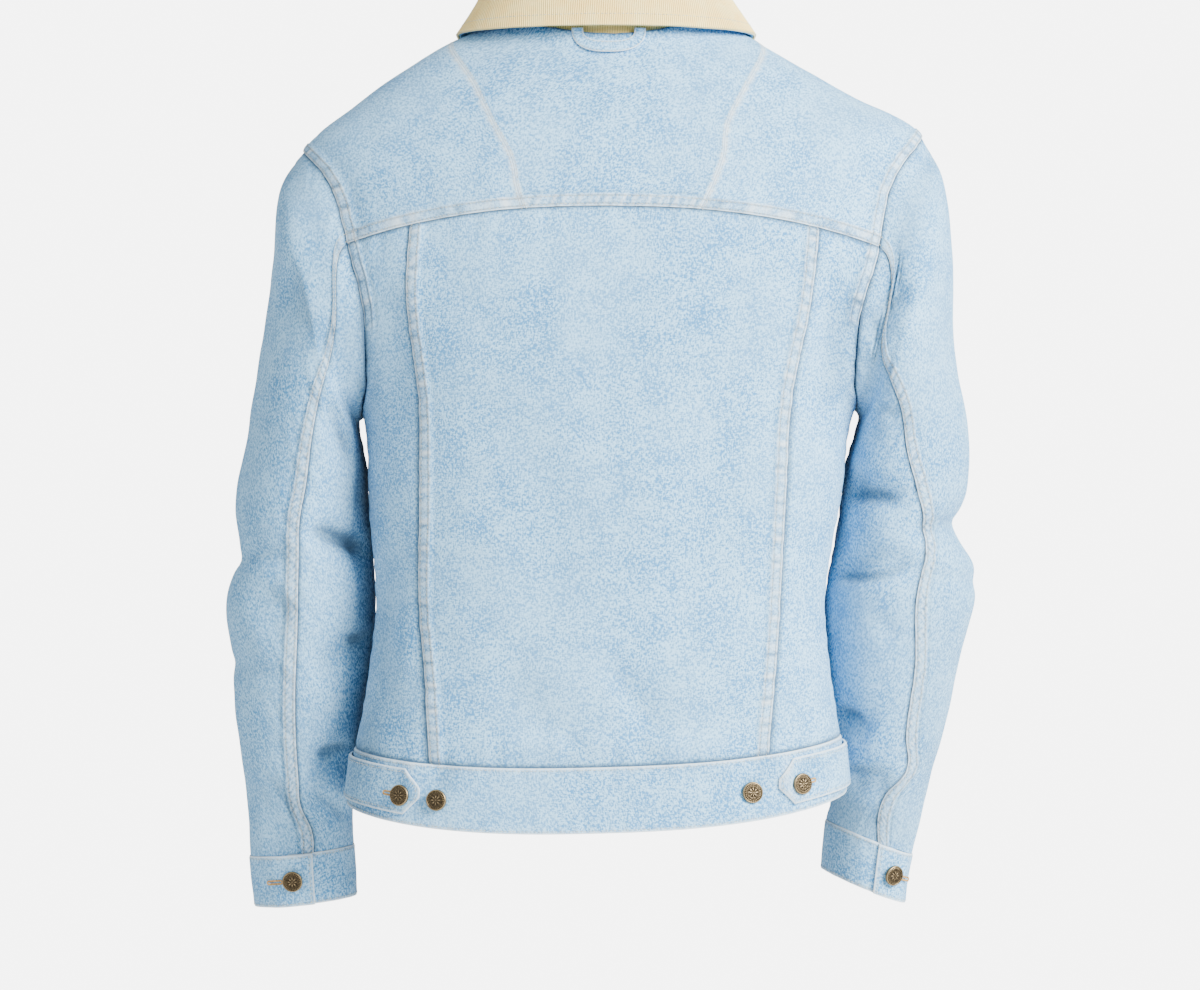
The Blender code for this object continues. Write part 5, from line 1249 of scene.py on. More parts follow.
@dataclass
class Waist:
    """The waistband and its two side tabs."""

    torso: Torso
    denim: bpy.types.Material
    sewing: "Sewing"

    def build(self) -> None:
        """A double band round the hem, lapped at the front, and pointed tabs at the sides."""
        torso = self.torso
        low, high = torso.height("hem"), torso.height("band") - SEAM_GAP
        degrees = np.linspace(WAISTBAND_UNDER_ANGLE, WAISTBAND_OVER_ANGLE, 331)
        a, b = np.meshgrid(np.radians(degrees), low + spread(high - low, 12, EDGE_MARKS, EDGE_MARKS))
        lift = (BAND_WALL + SEAM_GAP) * ease(WAISTBAND_RISE_ANGLE, WAISTBAND_RISE_ANGLE + 7.0, np.degrees(a))
        band = Panel("waistband", torso, a, b, (), (), (Edge.LOW, Edge.HIGH, Edge.END),
                     wall=BAND_WALL - LAP_RISE, lift=LAP_RISE + lift, inner=lift)
        band.declare(band.build(self.denim), Hold.FOLDED, ["back_center", "front_left", "front_right"])
        self.sewing.rows(band, (Edge.LOW, Edge.HIGH), (0.0021,))
        low, high = torso.height("hem"), torso.height("band")
        middle = low + TAB_MIDDLE * (high - low)
        for side in (LEFT, RIGHT):
            tip_x = side * TAB_TIP_X[side]
            tip = abs(math.degrees(float(torso.angle_at_x(tip_x, middle))))
            corner = abs(math.degrees(float(torso.angle_at_x(tip_x + side * TAB_TIP_LENGTH, middle))))
            degrees = np.concatenate([np.linspace(tip, corner, 8), np.linspace(corner, TAB_ROOT_ANGLE, 44)[1:]])
            half = np.interp(degrees, [tip, corner], [TAB_TIP_HEIGHT, TAB_HEIGHT]) / 2
            across = np.concatenate([[-1, -0.97, -0.93], np.linspace(-0.88, 0.88, 13), [0.93, 0.97, 1]])[:, None]
            a = np.tile(np.radians(side * degrees), (len(across), 1))
            slack = TAB_SLACK * bell(degrees - TAB_SLACK_ANGLE, 6.5) * np.ones((len(across), 1))
            seat = LAP_RISE + 2 * SEAM_GAP + slack
            tab = Panel("waist_tab_" + SIDE_NAME[side], torso, a, middle + across * half, (), (),
                        (Edge.START, Edge.LOW, Edge.HIGH), wall=0.0, lift=seat + TAB_WALL, inner=seat, seed=5.0 * side)
            tab.declare(tab.build(self.denim), Hold.LAID, ["waistband"])
            for edge in (Edge.LOW, Edge.HIGH):
                self.sewing.add(tab.line(edge, 0.0030)[2:])
            self.sewing.add(tab.line(Edge.START, 0.0030)[3:-3])


@dataclass
class Arms:
    """The sleeves and their cuffs."""

    sleeves: dict[int, Sleeve]
    denim: bpy.types.Material
    sewing: "Sewing"

    def panel(self, sleeve: Sleeve, name: str, ends: tuple[Callable, Callable], marks: np.ndarray, first: tuple) -> Panel:
        """One panel of a sleeve. At the armhole its columns stand at the marks of the body's rows.

        Args:
            sleeve: the form.
            name: the panel's name.
            ends: functions that give the angle of its first and last edge at a height.
            marks: angles of the columns at the armhole.
            first: fixed distances of the columns beside the first edge.

        Returns:
            The panel, not yet built.
        """
        high = sleeve.height("cuff_top")
        heights = np.concatenate([ARMHOLE_GAP + np.array([0.0, 0.0012]), np.linspace(0.0035, high, Grid.SLEEVE.value)])
        heights[-1] = high - SEAM_GAP
        start, end = ends[0](heights), ends[1](heights)
        fine = np.linspace(0.0, 1.0, 73)
        share = (marks - marks[0]) / (marks[-1] - marks[0])
        even = len(marks) - 1 - len(first)
        rows = []
        for b, s, e in zip(heights, start, end):
            line = s + (e - s) * fine
            a, _ = along_row(sleeve, line, np.full(len(fine), b), lambda length: spread(length, even, first))
            near = np.clip(s + (e - s) * share, min(a[0], a[-1]), max(a[0], a[-1]))
            weight = ease(0.0, SLEEVE_BLEND, b)
            rows.append((1 - weight) * near + weight * a)
        a = np.array(rows)
        b = np.tile(heights[:, None], (1, a.shape[1]))
        bands, tucked = ((Edge.START,), (Edge.LOW, Edge.END)) if first else ((), (Edge.LOW, Edge.START, Edge.END))
        return Panel(name, sleeve, a, b, bands, tucked, mask=ease(ARMHOLE_GAP, 0.006, b), seed=sleeve.side * 1.5)

    def build(self) -> None:
        """Each sleeve is an upper panel, which laps over the under panel at the back seam."""
        for side, sleeve in self.sleeves.items():
            hole, word = sleeve.armhole, SIDE_NAME[side]
            front = hole.front_marks()[::-1] - hole.run[-1]
            over = hole.to_degrees(np.concatenate([hole.yoke_marks(), front[1:]]))
            under = hole.to_degrees(hole.side_marks()[::-1])
            to_front = (sleeve.back_seam, lambda b, sleeve=sleeve: sleeve.under_seam(b) - 360.0)
            upper = self.panel(sleeve, "sleeve_upper_" + word, to_front, over, BAND_MARKS)
            upper.declare(upper.build(self.denim), Hold.DRAPED, ["yoke_side_" + word, "front_" + word])
            self.sewing.rows(upper, (Edge.START,))
            inside = (sleeve.back_seam, sleeve.under_seam)
            lower = self.panel(sleeve, "sleeve_under_" + word, inside, under, ())
            lower.declare(lower.build(self.denim), Hold.DRAPED, ["back_side_" + word])
            self.build_cuff(side, sleeve)

    def build_cuff(self, side: int, sleeve: Sleeve) -> None:
        """A double band whose flap laps over its other end at the back."""
        low, high = sleeve.height("cuff_top"), sleeve.height("cuff_end")
        flap = CUFF_FLAP_ANGLE[side]
        marks = flap - np.concatenate([[0.0, 0.8, 2.0, 3.4], np.linspace(5.0, 360.0 + CUFF_OVERLAP, 150)])
        a, b = np.meshgrid(marks, low + spread(high - low, 12, EDGE_MARKS, EDGE_MARKS))
        lift = (BAND_WALL + SEAM_GAP) * (1 - ease(CUFF_OVERLAP + 8, CUFF_OVERLAP + 36, flap - a))
        cuff = Panel("cuff_" + SIDE_NAME[side], sleeve, a, b, (), (), (Edge.START, Edge.LOW, Edge.HIGH),
                     wall=BAND_WALL - LAP_RISE, lift=LAP_RISE + lift, inner=lift, seed=4.0 * side)
        cuff.declare(cuff.build(self.denim), Hold.FOLDED, ["sleeve_upper_" + SIDE_NAME[side]])
        self.sewing.rows(cuff, (Edge.LOW, Edge.HIGH), (0.0021,))
        self.sewing.add(cuff.line(Edge.START, 0.0028)[3:-3])


@dataclass
class Neck:
    """The corduroy collar, the denim layer below its fall, and the hanger loop."""

    torso: Torso
    collar: Collar
    corduroy: bpy.types.Material
    denim: bpy.types.Material
    sewing: "Sewing"
    wales: int = 290
    wale_height: float = 0.00055
    topstitch: float = 0.0094

    def build(self) -> None:
        """Builds the three pieces at the neck."""
        per_wale = 4
        columns = np.linspace(-1.0, 1.0, self.wales * per_wale + 1)
        rows = np.concatenate([[0.0], np.linspace(0.0012, self.collar.top - 0.0012, 30), [self.collar.top]])
        a, b = np.meshgrid(columns, rows)
        wave = np.array([0.0, 0.72, 1.0, 0.72])[np.arange(len(columns)) % per_wale]
        edges = ease(0.0, 0.0015, b) * ease(0.0, 0.0015, self.collar.top - b)
        seam = 1 - 0.6 * bell(self.collar.top - b - self.topstitch, 0.0012)
        lift = (wave * self.wale_height - self.wale_height) * edges * seam
        lift = lift + 0.0004 * seam - 0.0004
        top = Panel("collar_top", self.collar, a, b, wall=CORDUROY, lift=lift)
        piece = top.build(self.corduroy)
        wales = np.tile(np.tile(wave, (len(rows), 1)).ravel(), 2).astype(np.float32)
        # the collar's worn value holds the wale profile, from which the corduroy finish paints shade in the valleys
        # between the wales
        piece.data.attributes["worn"].data.foreach_set("value", wales)
        top.declare(piece, Hold.FOLDED, ["yoke_center", "front_left", "front_right"], "corduroy")
        self.sewing.add(top.line(Edge.HIGH, self.topstitch)[2::per_wale])
        columns = np.linspace(-COLLAR_UNDER_END, COLLAR_UNDER_END, 201)
        start = np.linspace(0.0, self.collar.top, 11)[COLLAR_UNDER_ROW]
        a, b = np.meshgrid(columns, np.linspace(start, self.collar.top - COLLAR_UNDER_EDGE, 14))
        below = -CORDUROY - SEAM_GAP
        under = Panel("collar_under", self.collar, a, b, wall=DENIM, lift=below, inner=below)
        under.declare(under.build(self.denim), Hold.FOLDED, ["collar_top"])
        self.build_loop()

    def build_loop(self) -> None:
        """A folded strip sewn in at the back neck, which hangs in a shallow U below the collar."""
        fine = np.radians(np.linspace(-90.0, 90.0, 241))
        power = 2 / LOOP_SQUARE
        x = LOOP_MIDDLE_X + LOOP_HALF_SPAN * np.sign(fine) * np.abs(np.sin(fine)) ** power
        z = LOOP_TOP - LOOP_DROP * np.abs(np.cos(fine)) ** power
        run = np.concatenate([[0.0], np.cumsum(np.hypot(np.diff(x), np.diff(z)))])
        at = np.linspace(0.0, run[-1], 73)
        path = np.stack([np.interp(at, run, x), np.interp(at, run, z)], axis=-1)
        slope = np.gradient(path, axis=0)
        normal = unit(np.stack([-slope[:, 1], slope[:, 0]], axis=-1))
        slack = LOOP_SLACK * (np.maximum(-path[:, 1], 0.0) / (LOOP_DROP - LOOP_TOP)) ** 2
        share = np.array([-0.5, -0.47, -0.40, -0.32, -0.16, 0.0, 0.16, 0.32, 0.40, 0.47, 0.5])
        outer, inner = [], []
        for half in share:
            place = path + normal * half * LOOP_WIDTH
            pairs = np.array([self.torso.seen_at(px, min(pz, 0.0)) for px, pz in place[::4]])
            pairs = np.stack([np.interp(at, at[::4], pairs[:, k]) for k in (0, 1)])
            seat = self.torso.place(*pairs)[:, 1] + slack + LOOP_SEAT
            dome = LOOP_WALL + 0.0004 * (1 - (2 * abs(half)) ** 4) - 0.0004
            outer.append(np.stack([place[:, 0], seat + dome, place[:, 1]], axis=-1))
            inner.append(np.stack([place[:, 0], seat, place[:, 1]], axis=-1))
        outer, inner = np.array(outer), np.array(inner)
        rim = np.abs(share)[:, None] * np.ones((1, len(at)))
        # pale worn edges, and painted shade just inside the two rows of stitches
        values = {"worn": 0.10 + 0.80 * ease(0.43, 0.49, rim), "deep": 0.55 * bell(rim - 0.36, 0.05)}
        uv = np.stack(np.meshgrid(at, share * LOOP_WIDTH), axis=-1)
        loop = wall("hanger_loop_cloth", outer, inner, uv, values, self.denim)
        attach(loop, "root")
        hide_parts("hanger_loop")
        self.sewing.add(outer[2] + np.array([0.0, 0.0001, 0.0]))
        self.sewing.add(outer[-3] + np.array([0.0, 0.0001, 0.0]))


# ------------------------------------------------------------------ sewing


@dataclass(frozen=True)
class Stitch:
    """Size and spacing of a stitch, in metres."""

    pitch: float = 0.0033
    length: float = 0.0027
    thickness: float = 0.00055
    unevenness: float = 0.12
    seed: int = 7


class Sewing:
    """Collects rows of stitches and builds each kind as one piece through Geometry Nodes."""

    def __init__(self) -> None:
        """Starts with no rows."""
        self.lines: list[np.ndarray] = []

    def add(self, points: np.ndarray) -> None:
        """Adds one row of stitches along the points."""
        self.lines.append(points)

    def rows(self, panel: Panel, edges: Sequence[Edge], distances: Sequence[float] = STITCH_ROWS) -> None:
        """Adds rows at the same distances from several edges of a panel."""
        for edge in edges:
            for distance in distances:
                self.add(panel.line(edge, distance))

    @staticmethod
    def curves(name: str, lines: Sequence[np.ndarray]) -> bpy.types.Object:
        """A mesh of edges, one chain for each line."""
        points, edges = [], []
        for line in lines:
            start = len(points)
            points += line.tolist()
            edges += [(start + k, start + k + 1) for k in range(len(line) - 1)]
        mesh = bpy.data.meshes.new(name)
        mesh.from_pydata(points, edges, [])
        piece = bpy.data.objects.new(name, mesh)
        bpy.context.scene.collection.objects.link(piece)
        return piece

    @staticmethod
    def tree(name: str, material: bpy.types.Material) -> tuple[bpy.types.NodeTree, dict[str, str]]:
        """Nodes that set one rounded stitch after another along every curve.

        Args:
            name: name of the tree.
            material: the thread's finish.

        Returns:
            The tree and the identifiers of its inputs.
        """
        tree = bpy.data.node_groups.new(name, "GeometryNodeTree")
        ids = {}
        tree.interface.new_socket("Geometry", in_out="INPUT", socket_type="NodeSocketGeometry")
        for label in ("Pitch", "Length", "Thickness", "Unevenness"):
            socket = tree.interface.new_socket(label, in_out="INPUT", socket_type="NodeSocketFloat")
            ids[label] = socket.identifier
        ids["Seed"] = tree.interface.new_socket("Seed", in_out="INPUT", socket_type="NodeSocketInt").identifier
        tree.interface.new_socket("Geometry", in_out="OUTPUT", socket_type="NodeSocketGeometry")
        node, link = tree.nodes.new, tree.links.new
        start, end = node("NodeGroupInput"), node("NodeGroupOutput")
        curve, dots = node("GeometryNodeMeshToCurve"), node("GeometryNodeCurveToPoints")
        dots.mode = "LENGTH"
        link(start.outputs["Geometry"], curve.inputs["Mesh"])
        link(curve.outputs["Curve"], dots.inputs["Curve"])
        link(start.outputs["Pitch"], dots.inputs["Length"])
        ball, turn = node("GeometryNodeMeshIcoSphere"), node("FunctionNodeAlignRotationToVector")
        ball.inputs["Radius"].default_value = 0.5
        ball.inputs["Subdivisions"].default_value = 1
        turn.axis = "X"
        link(dots.outputs["Tangent"], turn.inputs["Vector"])
        size, spread_of = node("ShaderNodeCombineXYZ"), node("FunctionNodeRandomValue")
        link(start.outputs["Length"], size.inputs["X"])
        link(start.outputs["Thickness"], size.inputs["Y"])
        link(start.outputs["Thickness"], size.inputs["Z"])
        spread_of.data_type = "FLOAT"
        low, high = node("ShaderNodeMath"), node("ShaderNodeMath")
        low.operation, high.operation = "SUBTRACT", "ADD"
        low.inputs[0].default_value = high.inputs[0].default_value = 1.0
        link(start.outputs["Unevenness"], low.inputs[1])
        link(start.outputs["Unevenness"], high.inputs[1])
        floats = [s for s in spread_of.inputs if s.type == "VALUE" and s.enabled]
        link(low.outputs[0], floats[0])
        link(high.outputs[0], floats[1])
        link(start.outputs["Seed"], spread_of.inputs["Seed"])
        scale = node("ShaderNodeVectorMath")
        scale.operation = "SCALE"
        link(size.outputs[0], scale.inputs[0])
        link([s for s in spread_of.outputs if s.type == "VALUE" and s.enabled][0], scale.inputs["Scale"])
        put, real = node("GeometryNodeInstanceOnPoints"), node("GeometryNodeRealizeInstances")
        link(dots.outputs["Points"], put.inputs["Points"])
        link(ball.outputs["Mesh"], put.inputs["Instance"])
        link(turn.outputs["Rotation"], put.inputs["Rotation"])
        link(scale.outputs[0], put.inputs["Scale"])
        link(put.outputs["Instances"], real.inputs["Geometry"])
        finish = node("GeometryNodeSetMaterial")
        finish.inputs["Material"].default_value = material
        link(real.outputs["Geometry"], finish.inputs["Geometry"])
        link(finish.outputs["Geometry"], end.inputs["Geometry"])
        return tree, ids

    @classmethod
    def grow(cls, name: str, lines: Sequence[np.ndarray], stitch: Stitch, material: bpy.types.Material) -> None:
        """Builds the rows as one mesh and parents it to the root.

        Args:
            name: name of the finished object.
            lines: points of every row.
            stitch: size and spacing.
            material: the thread's finish.
        """
        source = cls.curves(name + "_rows", lines)
        tree, ids = cls.tree(name, material)
        nodes = source.modifiers.new("Stitches", "NODES")
        nodes.node_group = tree
        nodes[ids["Pitch"]], nodes[ids["Length"]] = stitch.pitch, stitch.length
        nodes[ids["Thickness"]], nodes[ids["Unevenness"]] = stitch.thickness, stitch.unevenness
        nodes[ids["Seed"]] = stitch.seed
        graph = bpy.context.evaluated_depsgraph_get()
        graph.update()
        mesh = bpy.data.meshes.new_from_object(source.evaluated_get(graph), depsgraph=graph)
        mesh.name = name
        bpy.data.objects.remove(source)
        mesh.shade_smooth()
        piece = add_object(name, mesh, material)
        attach(piece, "root")
        log.info("%s: %d rows, %d faces", name, len(lines), len(mesh.polygons))

    def build(self, material: bpy.types.Material) -> None:
        """Builds all rows that were collected."""
        self.grow("seam_stitches", self.lines, Stitch(), material)


@dataclass
class Buttonholes:
    """Buttonholes and bar tacks: short dense rows of thread on the cloth."""

    thread: bpy.types.Material
    length: float = 0.0145
    width: float = 0.0034
    lines: list[np.ndarray] = field(default_factory=list)

    def hole(self, form: Form, a: float, b: float, step: float, rise: float) -> None:
        """A flat oval ring of thread.

        Args:
            form: the form below it.
            a: parameters of its middle, with b.
            b: see a.
            step: a small change of a, along which it runs.
            rise: height of the cloth's outer face over the form.
        """
        middle = form.place(np.array([a]), np.array([b]), rise)[0]
        normal = form.normal(np.array([a]), np.array([b]))[0]
        run = unit(form.place(np.array([a + step]), np.array([b]), rise)[0] - middle)
        run = unit(run - normal * (run @ normal))
        side = np.cross(normal, run)
        turn = np.linspace(0.0, 2 * math.pi, 49)
        straight = (self.length - self.width) / 2
        x = np.cos(turn) * self.width / 2 + np.sign(np.cos(turn)) * straight * ease(0.0, 0.3, np.abs(np.cos(turn)))
        y = np.sin(turn) * self.width / 2
        self.lines.append(middle + x[:, None] * run + y[:, None] * side + normal * 0.0003)
        self.lines.append(middle + x[:, None] * run * 0.93 + y[:, None] * side * 0.55 + normal * 0.0002)

    def tack(self, points: np.ndarray) -> None:
        """A bar tack along a few points."""
        self.lines.append(points)

    def build(self) -> None:
        """Sews all of them."""
        stitch = Stitch(0.0006, 0.0014, 0.0009, 0.10, 3)
        Sewing.grow("buttonholes", self.lines, stitch, self.thread)


# ------------------------------------------------------------------ buttons


@dataclass
class Buttons:
    """Tack buttons with a domed cap, a rolled rim, a ring of beads and a small rosette."""

    torso: Torso
    sleeves: dict[int, Sleeve]
    strip_rows: np.ndarray
    metal: bpy.types.Material
    holes: Buttonholes
    steps: int = 112
    beads: int = 28
    petals: int = 8

    def profile(self) -> list[tuple[float, float]]:
        """Radius and height of the turned cap, from its top down to its foot."""
        top, rim = SHANK_HEIGHT + BUTTON_HEIGHT, SHANK_HEIGHT + BUTTON_HEIGHT * 0.35
        r = BUTTON_RADIUS
        cap = [(0.0, top - 0.0004), (0.0008, top - 0.0003), (0.0016, top - 0.0005), (0.0025, top - 0.0002)]
        cap += [(0.0034, top - 0.0006), (0.0042, top - 0.0005), (0.0050, top - 0.0003), (0.0056, top - 0.0006)]
        cap += [(0.0063, top - 0.0003), (0.0070, top - 0.0007), (0.0074, top - 0.0003), (0.0079, top - 0.0004)]
        cap += [(r * 0.975, rim + 0.0011), (r, rim), (r * 0.985, rim - 0.0006), (r * 0.93, SHANK_HEIGHT)]
        return cap + [(SHANK_RADIUS, SHANK_HEIGHT), (SHANK_RADIUS, 0.0), (0.0, 0.0)]

    def button(self, name: str, form: Form, a: float, b: float, seat: float) -> None:
        """Turns one button and stands it on the cloth.

        Args:
            name: its name, which is its solid's too.
            form: the form below it.
            a: parameters of its middle, with b.
            b: see a.
            seat: height of its foot over the form.
        """
        profile = np.array(self.profile())
        turn = np.linspace(0.0, 2 * math.pi, self.steps, endpoint=False)
        radius, height = profile[1:-1, :1], profile[1:-1, 1:]
        raised = 0.00022 * bell(radius - 0.0063, 0.0006) * np.cos(self.beads * turn)
        raised = raised + 0.00030 * bell(radius - 0.0026, 0.0009) * np.cos(self.petals * turn)
        rings = np.stack([radius * np.cos(turn), radius * np.sin(turn), height + raised * (height > SHANK_HEIGHT)], -1)
        shell = bmesh.new()
        grid = [[shell.verts.new(p) for p in ring] for ring in rings.tolist()]
        tip, foot = (shell.verts.new((0.0, 0.0, profile[k, 1])) for k in (0, -1))
        for upper, lower in zip(grid, grid[1:]):
            for k in range(self.steps):
                n = (k + 1) % self.steps
                shell.faces.new((upper[k], lower[k], lower[n], upper[n]))
        for k in range(self.steps):
            n = (k + 1) % self.steps
            shell.faces.new((tip, grid[0][k], grid[0][n]))
            shell.faces.new((foot, grid[-1][n], grid[-1][k]))
        here = np.array([a]), np.array([b])
        place = Vector(form.place(*here, seat)[0])
        outward = Vector(form.normal(*here)[0])
        shell.transform(Matrix.Translation(place) @ outward.to_track_quat("Z", "Y").to_matrix().to_4x4())
        mesh = bpy.data.meshes.new(name)
        shell.to_mesh(mesh)
        shell.free()
        rubbed = 0.24 + raised / 0.0006 + 0.5 * bell(radius - 0.0079, 0.0005) * np.ones((1, self.steps))
        rubbed = np.concatenate([rubbed.ravel(), [0.6, 0.0]]).astype(np.float32)
        mesh.attributes.new("worn", "FLOAT", "POINT").data.foreach_set("value", rubbed)
        mesh.shade_smooth()
        mesh.set_sharp_from_angle(angle=math.radians(55))
        piece = add_object(f"{name}_cap", mesh, self.metal)
        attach(piece, "root")
        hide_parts(name)

    @staticmethod
    def turn_of(form: Form, a: float, b: float, distance: float) -> float:
        """How much a changes over a distance along the form."""
        here, there = form.bare(np.array([a, a + form.step_a]), np.array([b, b]))
        return form.step_a * distance / float(np.linalg.norm(there - here))

    def build(self) -> None:
        """Waist, cuff and front buttons at the places of their solids, and their buttonholes."""
        torso, holes = self.torso, self.holes
        low, high, neck = torso.height("hem"), torso.height("band"), torso.height("neck")
        middle = low + WAIST_BUTTON_HEIGHT * (high - low)
        for side in (LEFT, RIGHT):
            for word, x in zip(("tab", "spare"), WAIST_BUTTON_X[side]):
                angle = float(torso.angle_at_x(side * x, middle))
                on_tab = TAB_WALL + SEAM_GAP if word == "tab" else 0.0
                seat = LAP_RISE + SEAM_GAP + on_tab
                self.button(f"button_waist_{word}_{SIDE_NAME[side]}", torso, angle, middle, seat)
                if word == "tab":
                    beside = angle + side * self.turn_of(torso, angle, middle, 0.0095)
                    slack = TAB_SLACK * bell(abs(math.degrees(beside)) - TAB_SLACK_ANGLE, 6.5)
                    rise = LAP_RISE + 2 * SEAM_GAP + TAB_WALL + float(slack)
                    holes.hole(torso, beside, middle, math.radians(0.5), rise)
            sleeve = self.sleeves[side]
            at = (sleeve.height("cuff_top") + sleeve.height("cuff_end")) / 2
            angle = CUFF_FLAP_ANGLE[side] - CUFF_BUTTON_BACK
            self.button("button_cuff_" + SIDE_NAME[side], sleeve, angle, at, LAP_RISE + BAND_WALL + 2 * SEAM_GAP)
            beside = angle - self.turn_of(sleeve, angle, at, 0.0145)
            holes.hole(sleeve, beside, at, 1.0, LAP_RISE + BAND_WALL + SEAM_GAP)
        for k in range(FRONT_BUTTONS):
            wanted = high + (neck - high) * (0.10 + 0.86 * k / (FRONT_BUTTONS - 1))
            b = float(self.strip_rows[np.argmin(np.abs(self.strip_rows - wanted))])
            angle = float(torso.angle_at_x(FRONT_BUTTON_X, b, "front"))
            self.button(f"button_front_{k + 1}", torso, angle, b, PLACKET_WALL + 2 * SEAM_GAP)
            beside = float(torso.angle_at_x(FRONT_BUTTON_X - 0.010, b, "front"))
            holes.hole(torso, beside, b, math.radians(0.5), PLACKET_WALL + SEAM_GAP)
        angle = float(torso.angle_at_x(FRONT_BUTTON_X, middle, "front"))
        self.button("button_front_waist", torso, angle, middle, LAP_RISE + BAND_WALL + 2 * SEAM_GAP)
        log.info("buttons: %d", 2 * 3 + FRONT_BUTTONS + 1)


# ------------------------------------------------------------------ finishes

Colour = tuple[float, float, float]


class Shade:
    """Adds nodes to one tree and links them."""

    def __init__(self, tree: bpy.types.NodeTree) -> None:
        """Works on this tree."""
        self.tree = tree

    def node(self, kind: str, **settings: Any) -> bpy.types.Node:
        """A new node with these settings."""
        node = self.tree.nodes.new(kind)
        for key, value in settings.items():
            setattr(node, key, value)
        return node

    def feed(self, socket: bpy.types.NodeSocket, value: Any) -> None:
        """Links a socket, or sets its number."""
        if isinstance(value, bpy.types.NodeSocket):
            self.tree.links.new(value, socket)
        else:
            socket.default_value = value

    def math(self, operation: str, *values: Any) -> bpy.types.NodeSocket:
        """One step of arithmetic."""
        node = self.node("ShaderNodeMath", operation=operation)
        for socket, value in zip(node.inputs, values):
            self.feed(socket, value)
        return node.outputs[0]

    def grain(self, place: bpy.types.NodeSocket, scale: float, detail: float = 2.0, rough: float = 0.5) -> Any:
        """Noise from 0 to 1 at a place."""
        node = self.node("ShaderNodeTexNoise")
        self.feed(node.inputs["Vector"], place)
        for key, value in {"Scale": scale, "Detail": detail, "Roughness": rough}.items():
            node.inputs[key].default_value = value
        return node.outputs["Fac"]

    def stretch(self, place: bpy.types.NodeSocket, x: float, y: float, turn: float = 0.0) -> bpy.types.NodeSocket:
        """A place scaled along and across, after a turn in radians."""
        node = self.node("ShaderNodeMapping")
        self.feed(node.inputs["Vector"], place)
        node.inputs["Rotation"].default_value = (0.0, 0.0, turn)
        node.inputs["Scale"].default_value = (x, y, 1.0)
        return node.outputs["Vector"]

    def between(self, value: Any, low: float, high: float) -> bpy.types.NodeSocket:
        """0 below low, 1 above high and smooth between them."""
        node = self.node("ShaderNodeMapRange", interpolation_type="SMOOTHSTEP")
        for key, item in {"Value": value, "From Min": low, "From Max": high}.items():
            self.feed(node.inputs[key], item)
        return node.outputs["Result"]

    def blend(self, share: Any, first: Any, second: Any) -> bpy.types.NodeSocket:
        """A mix of two colours."""
        node = self.node("ShaderNodeMix", data_type="RGBA")
        for socket, value in zip((node.inputs[0], node.inputs[6], node.inputs[7]), (share, first, second)):
            value = (*value, 1.0) if isinstance(value, tuple) else value
            self.feed(socket, value)
        return node.outputs[2]

    def attribute(self, name: str) -> bpy.types.NodeSocket:
        """A named value of the mesh."""
        return self.node("ShaderNodeAttribute", attribute_name=name).outputs["Fac"]


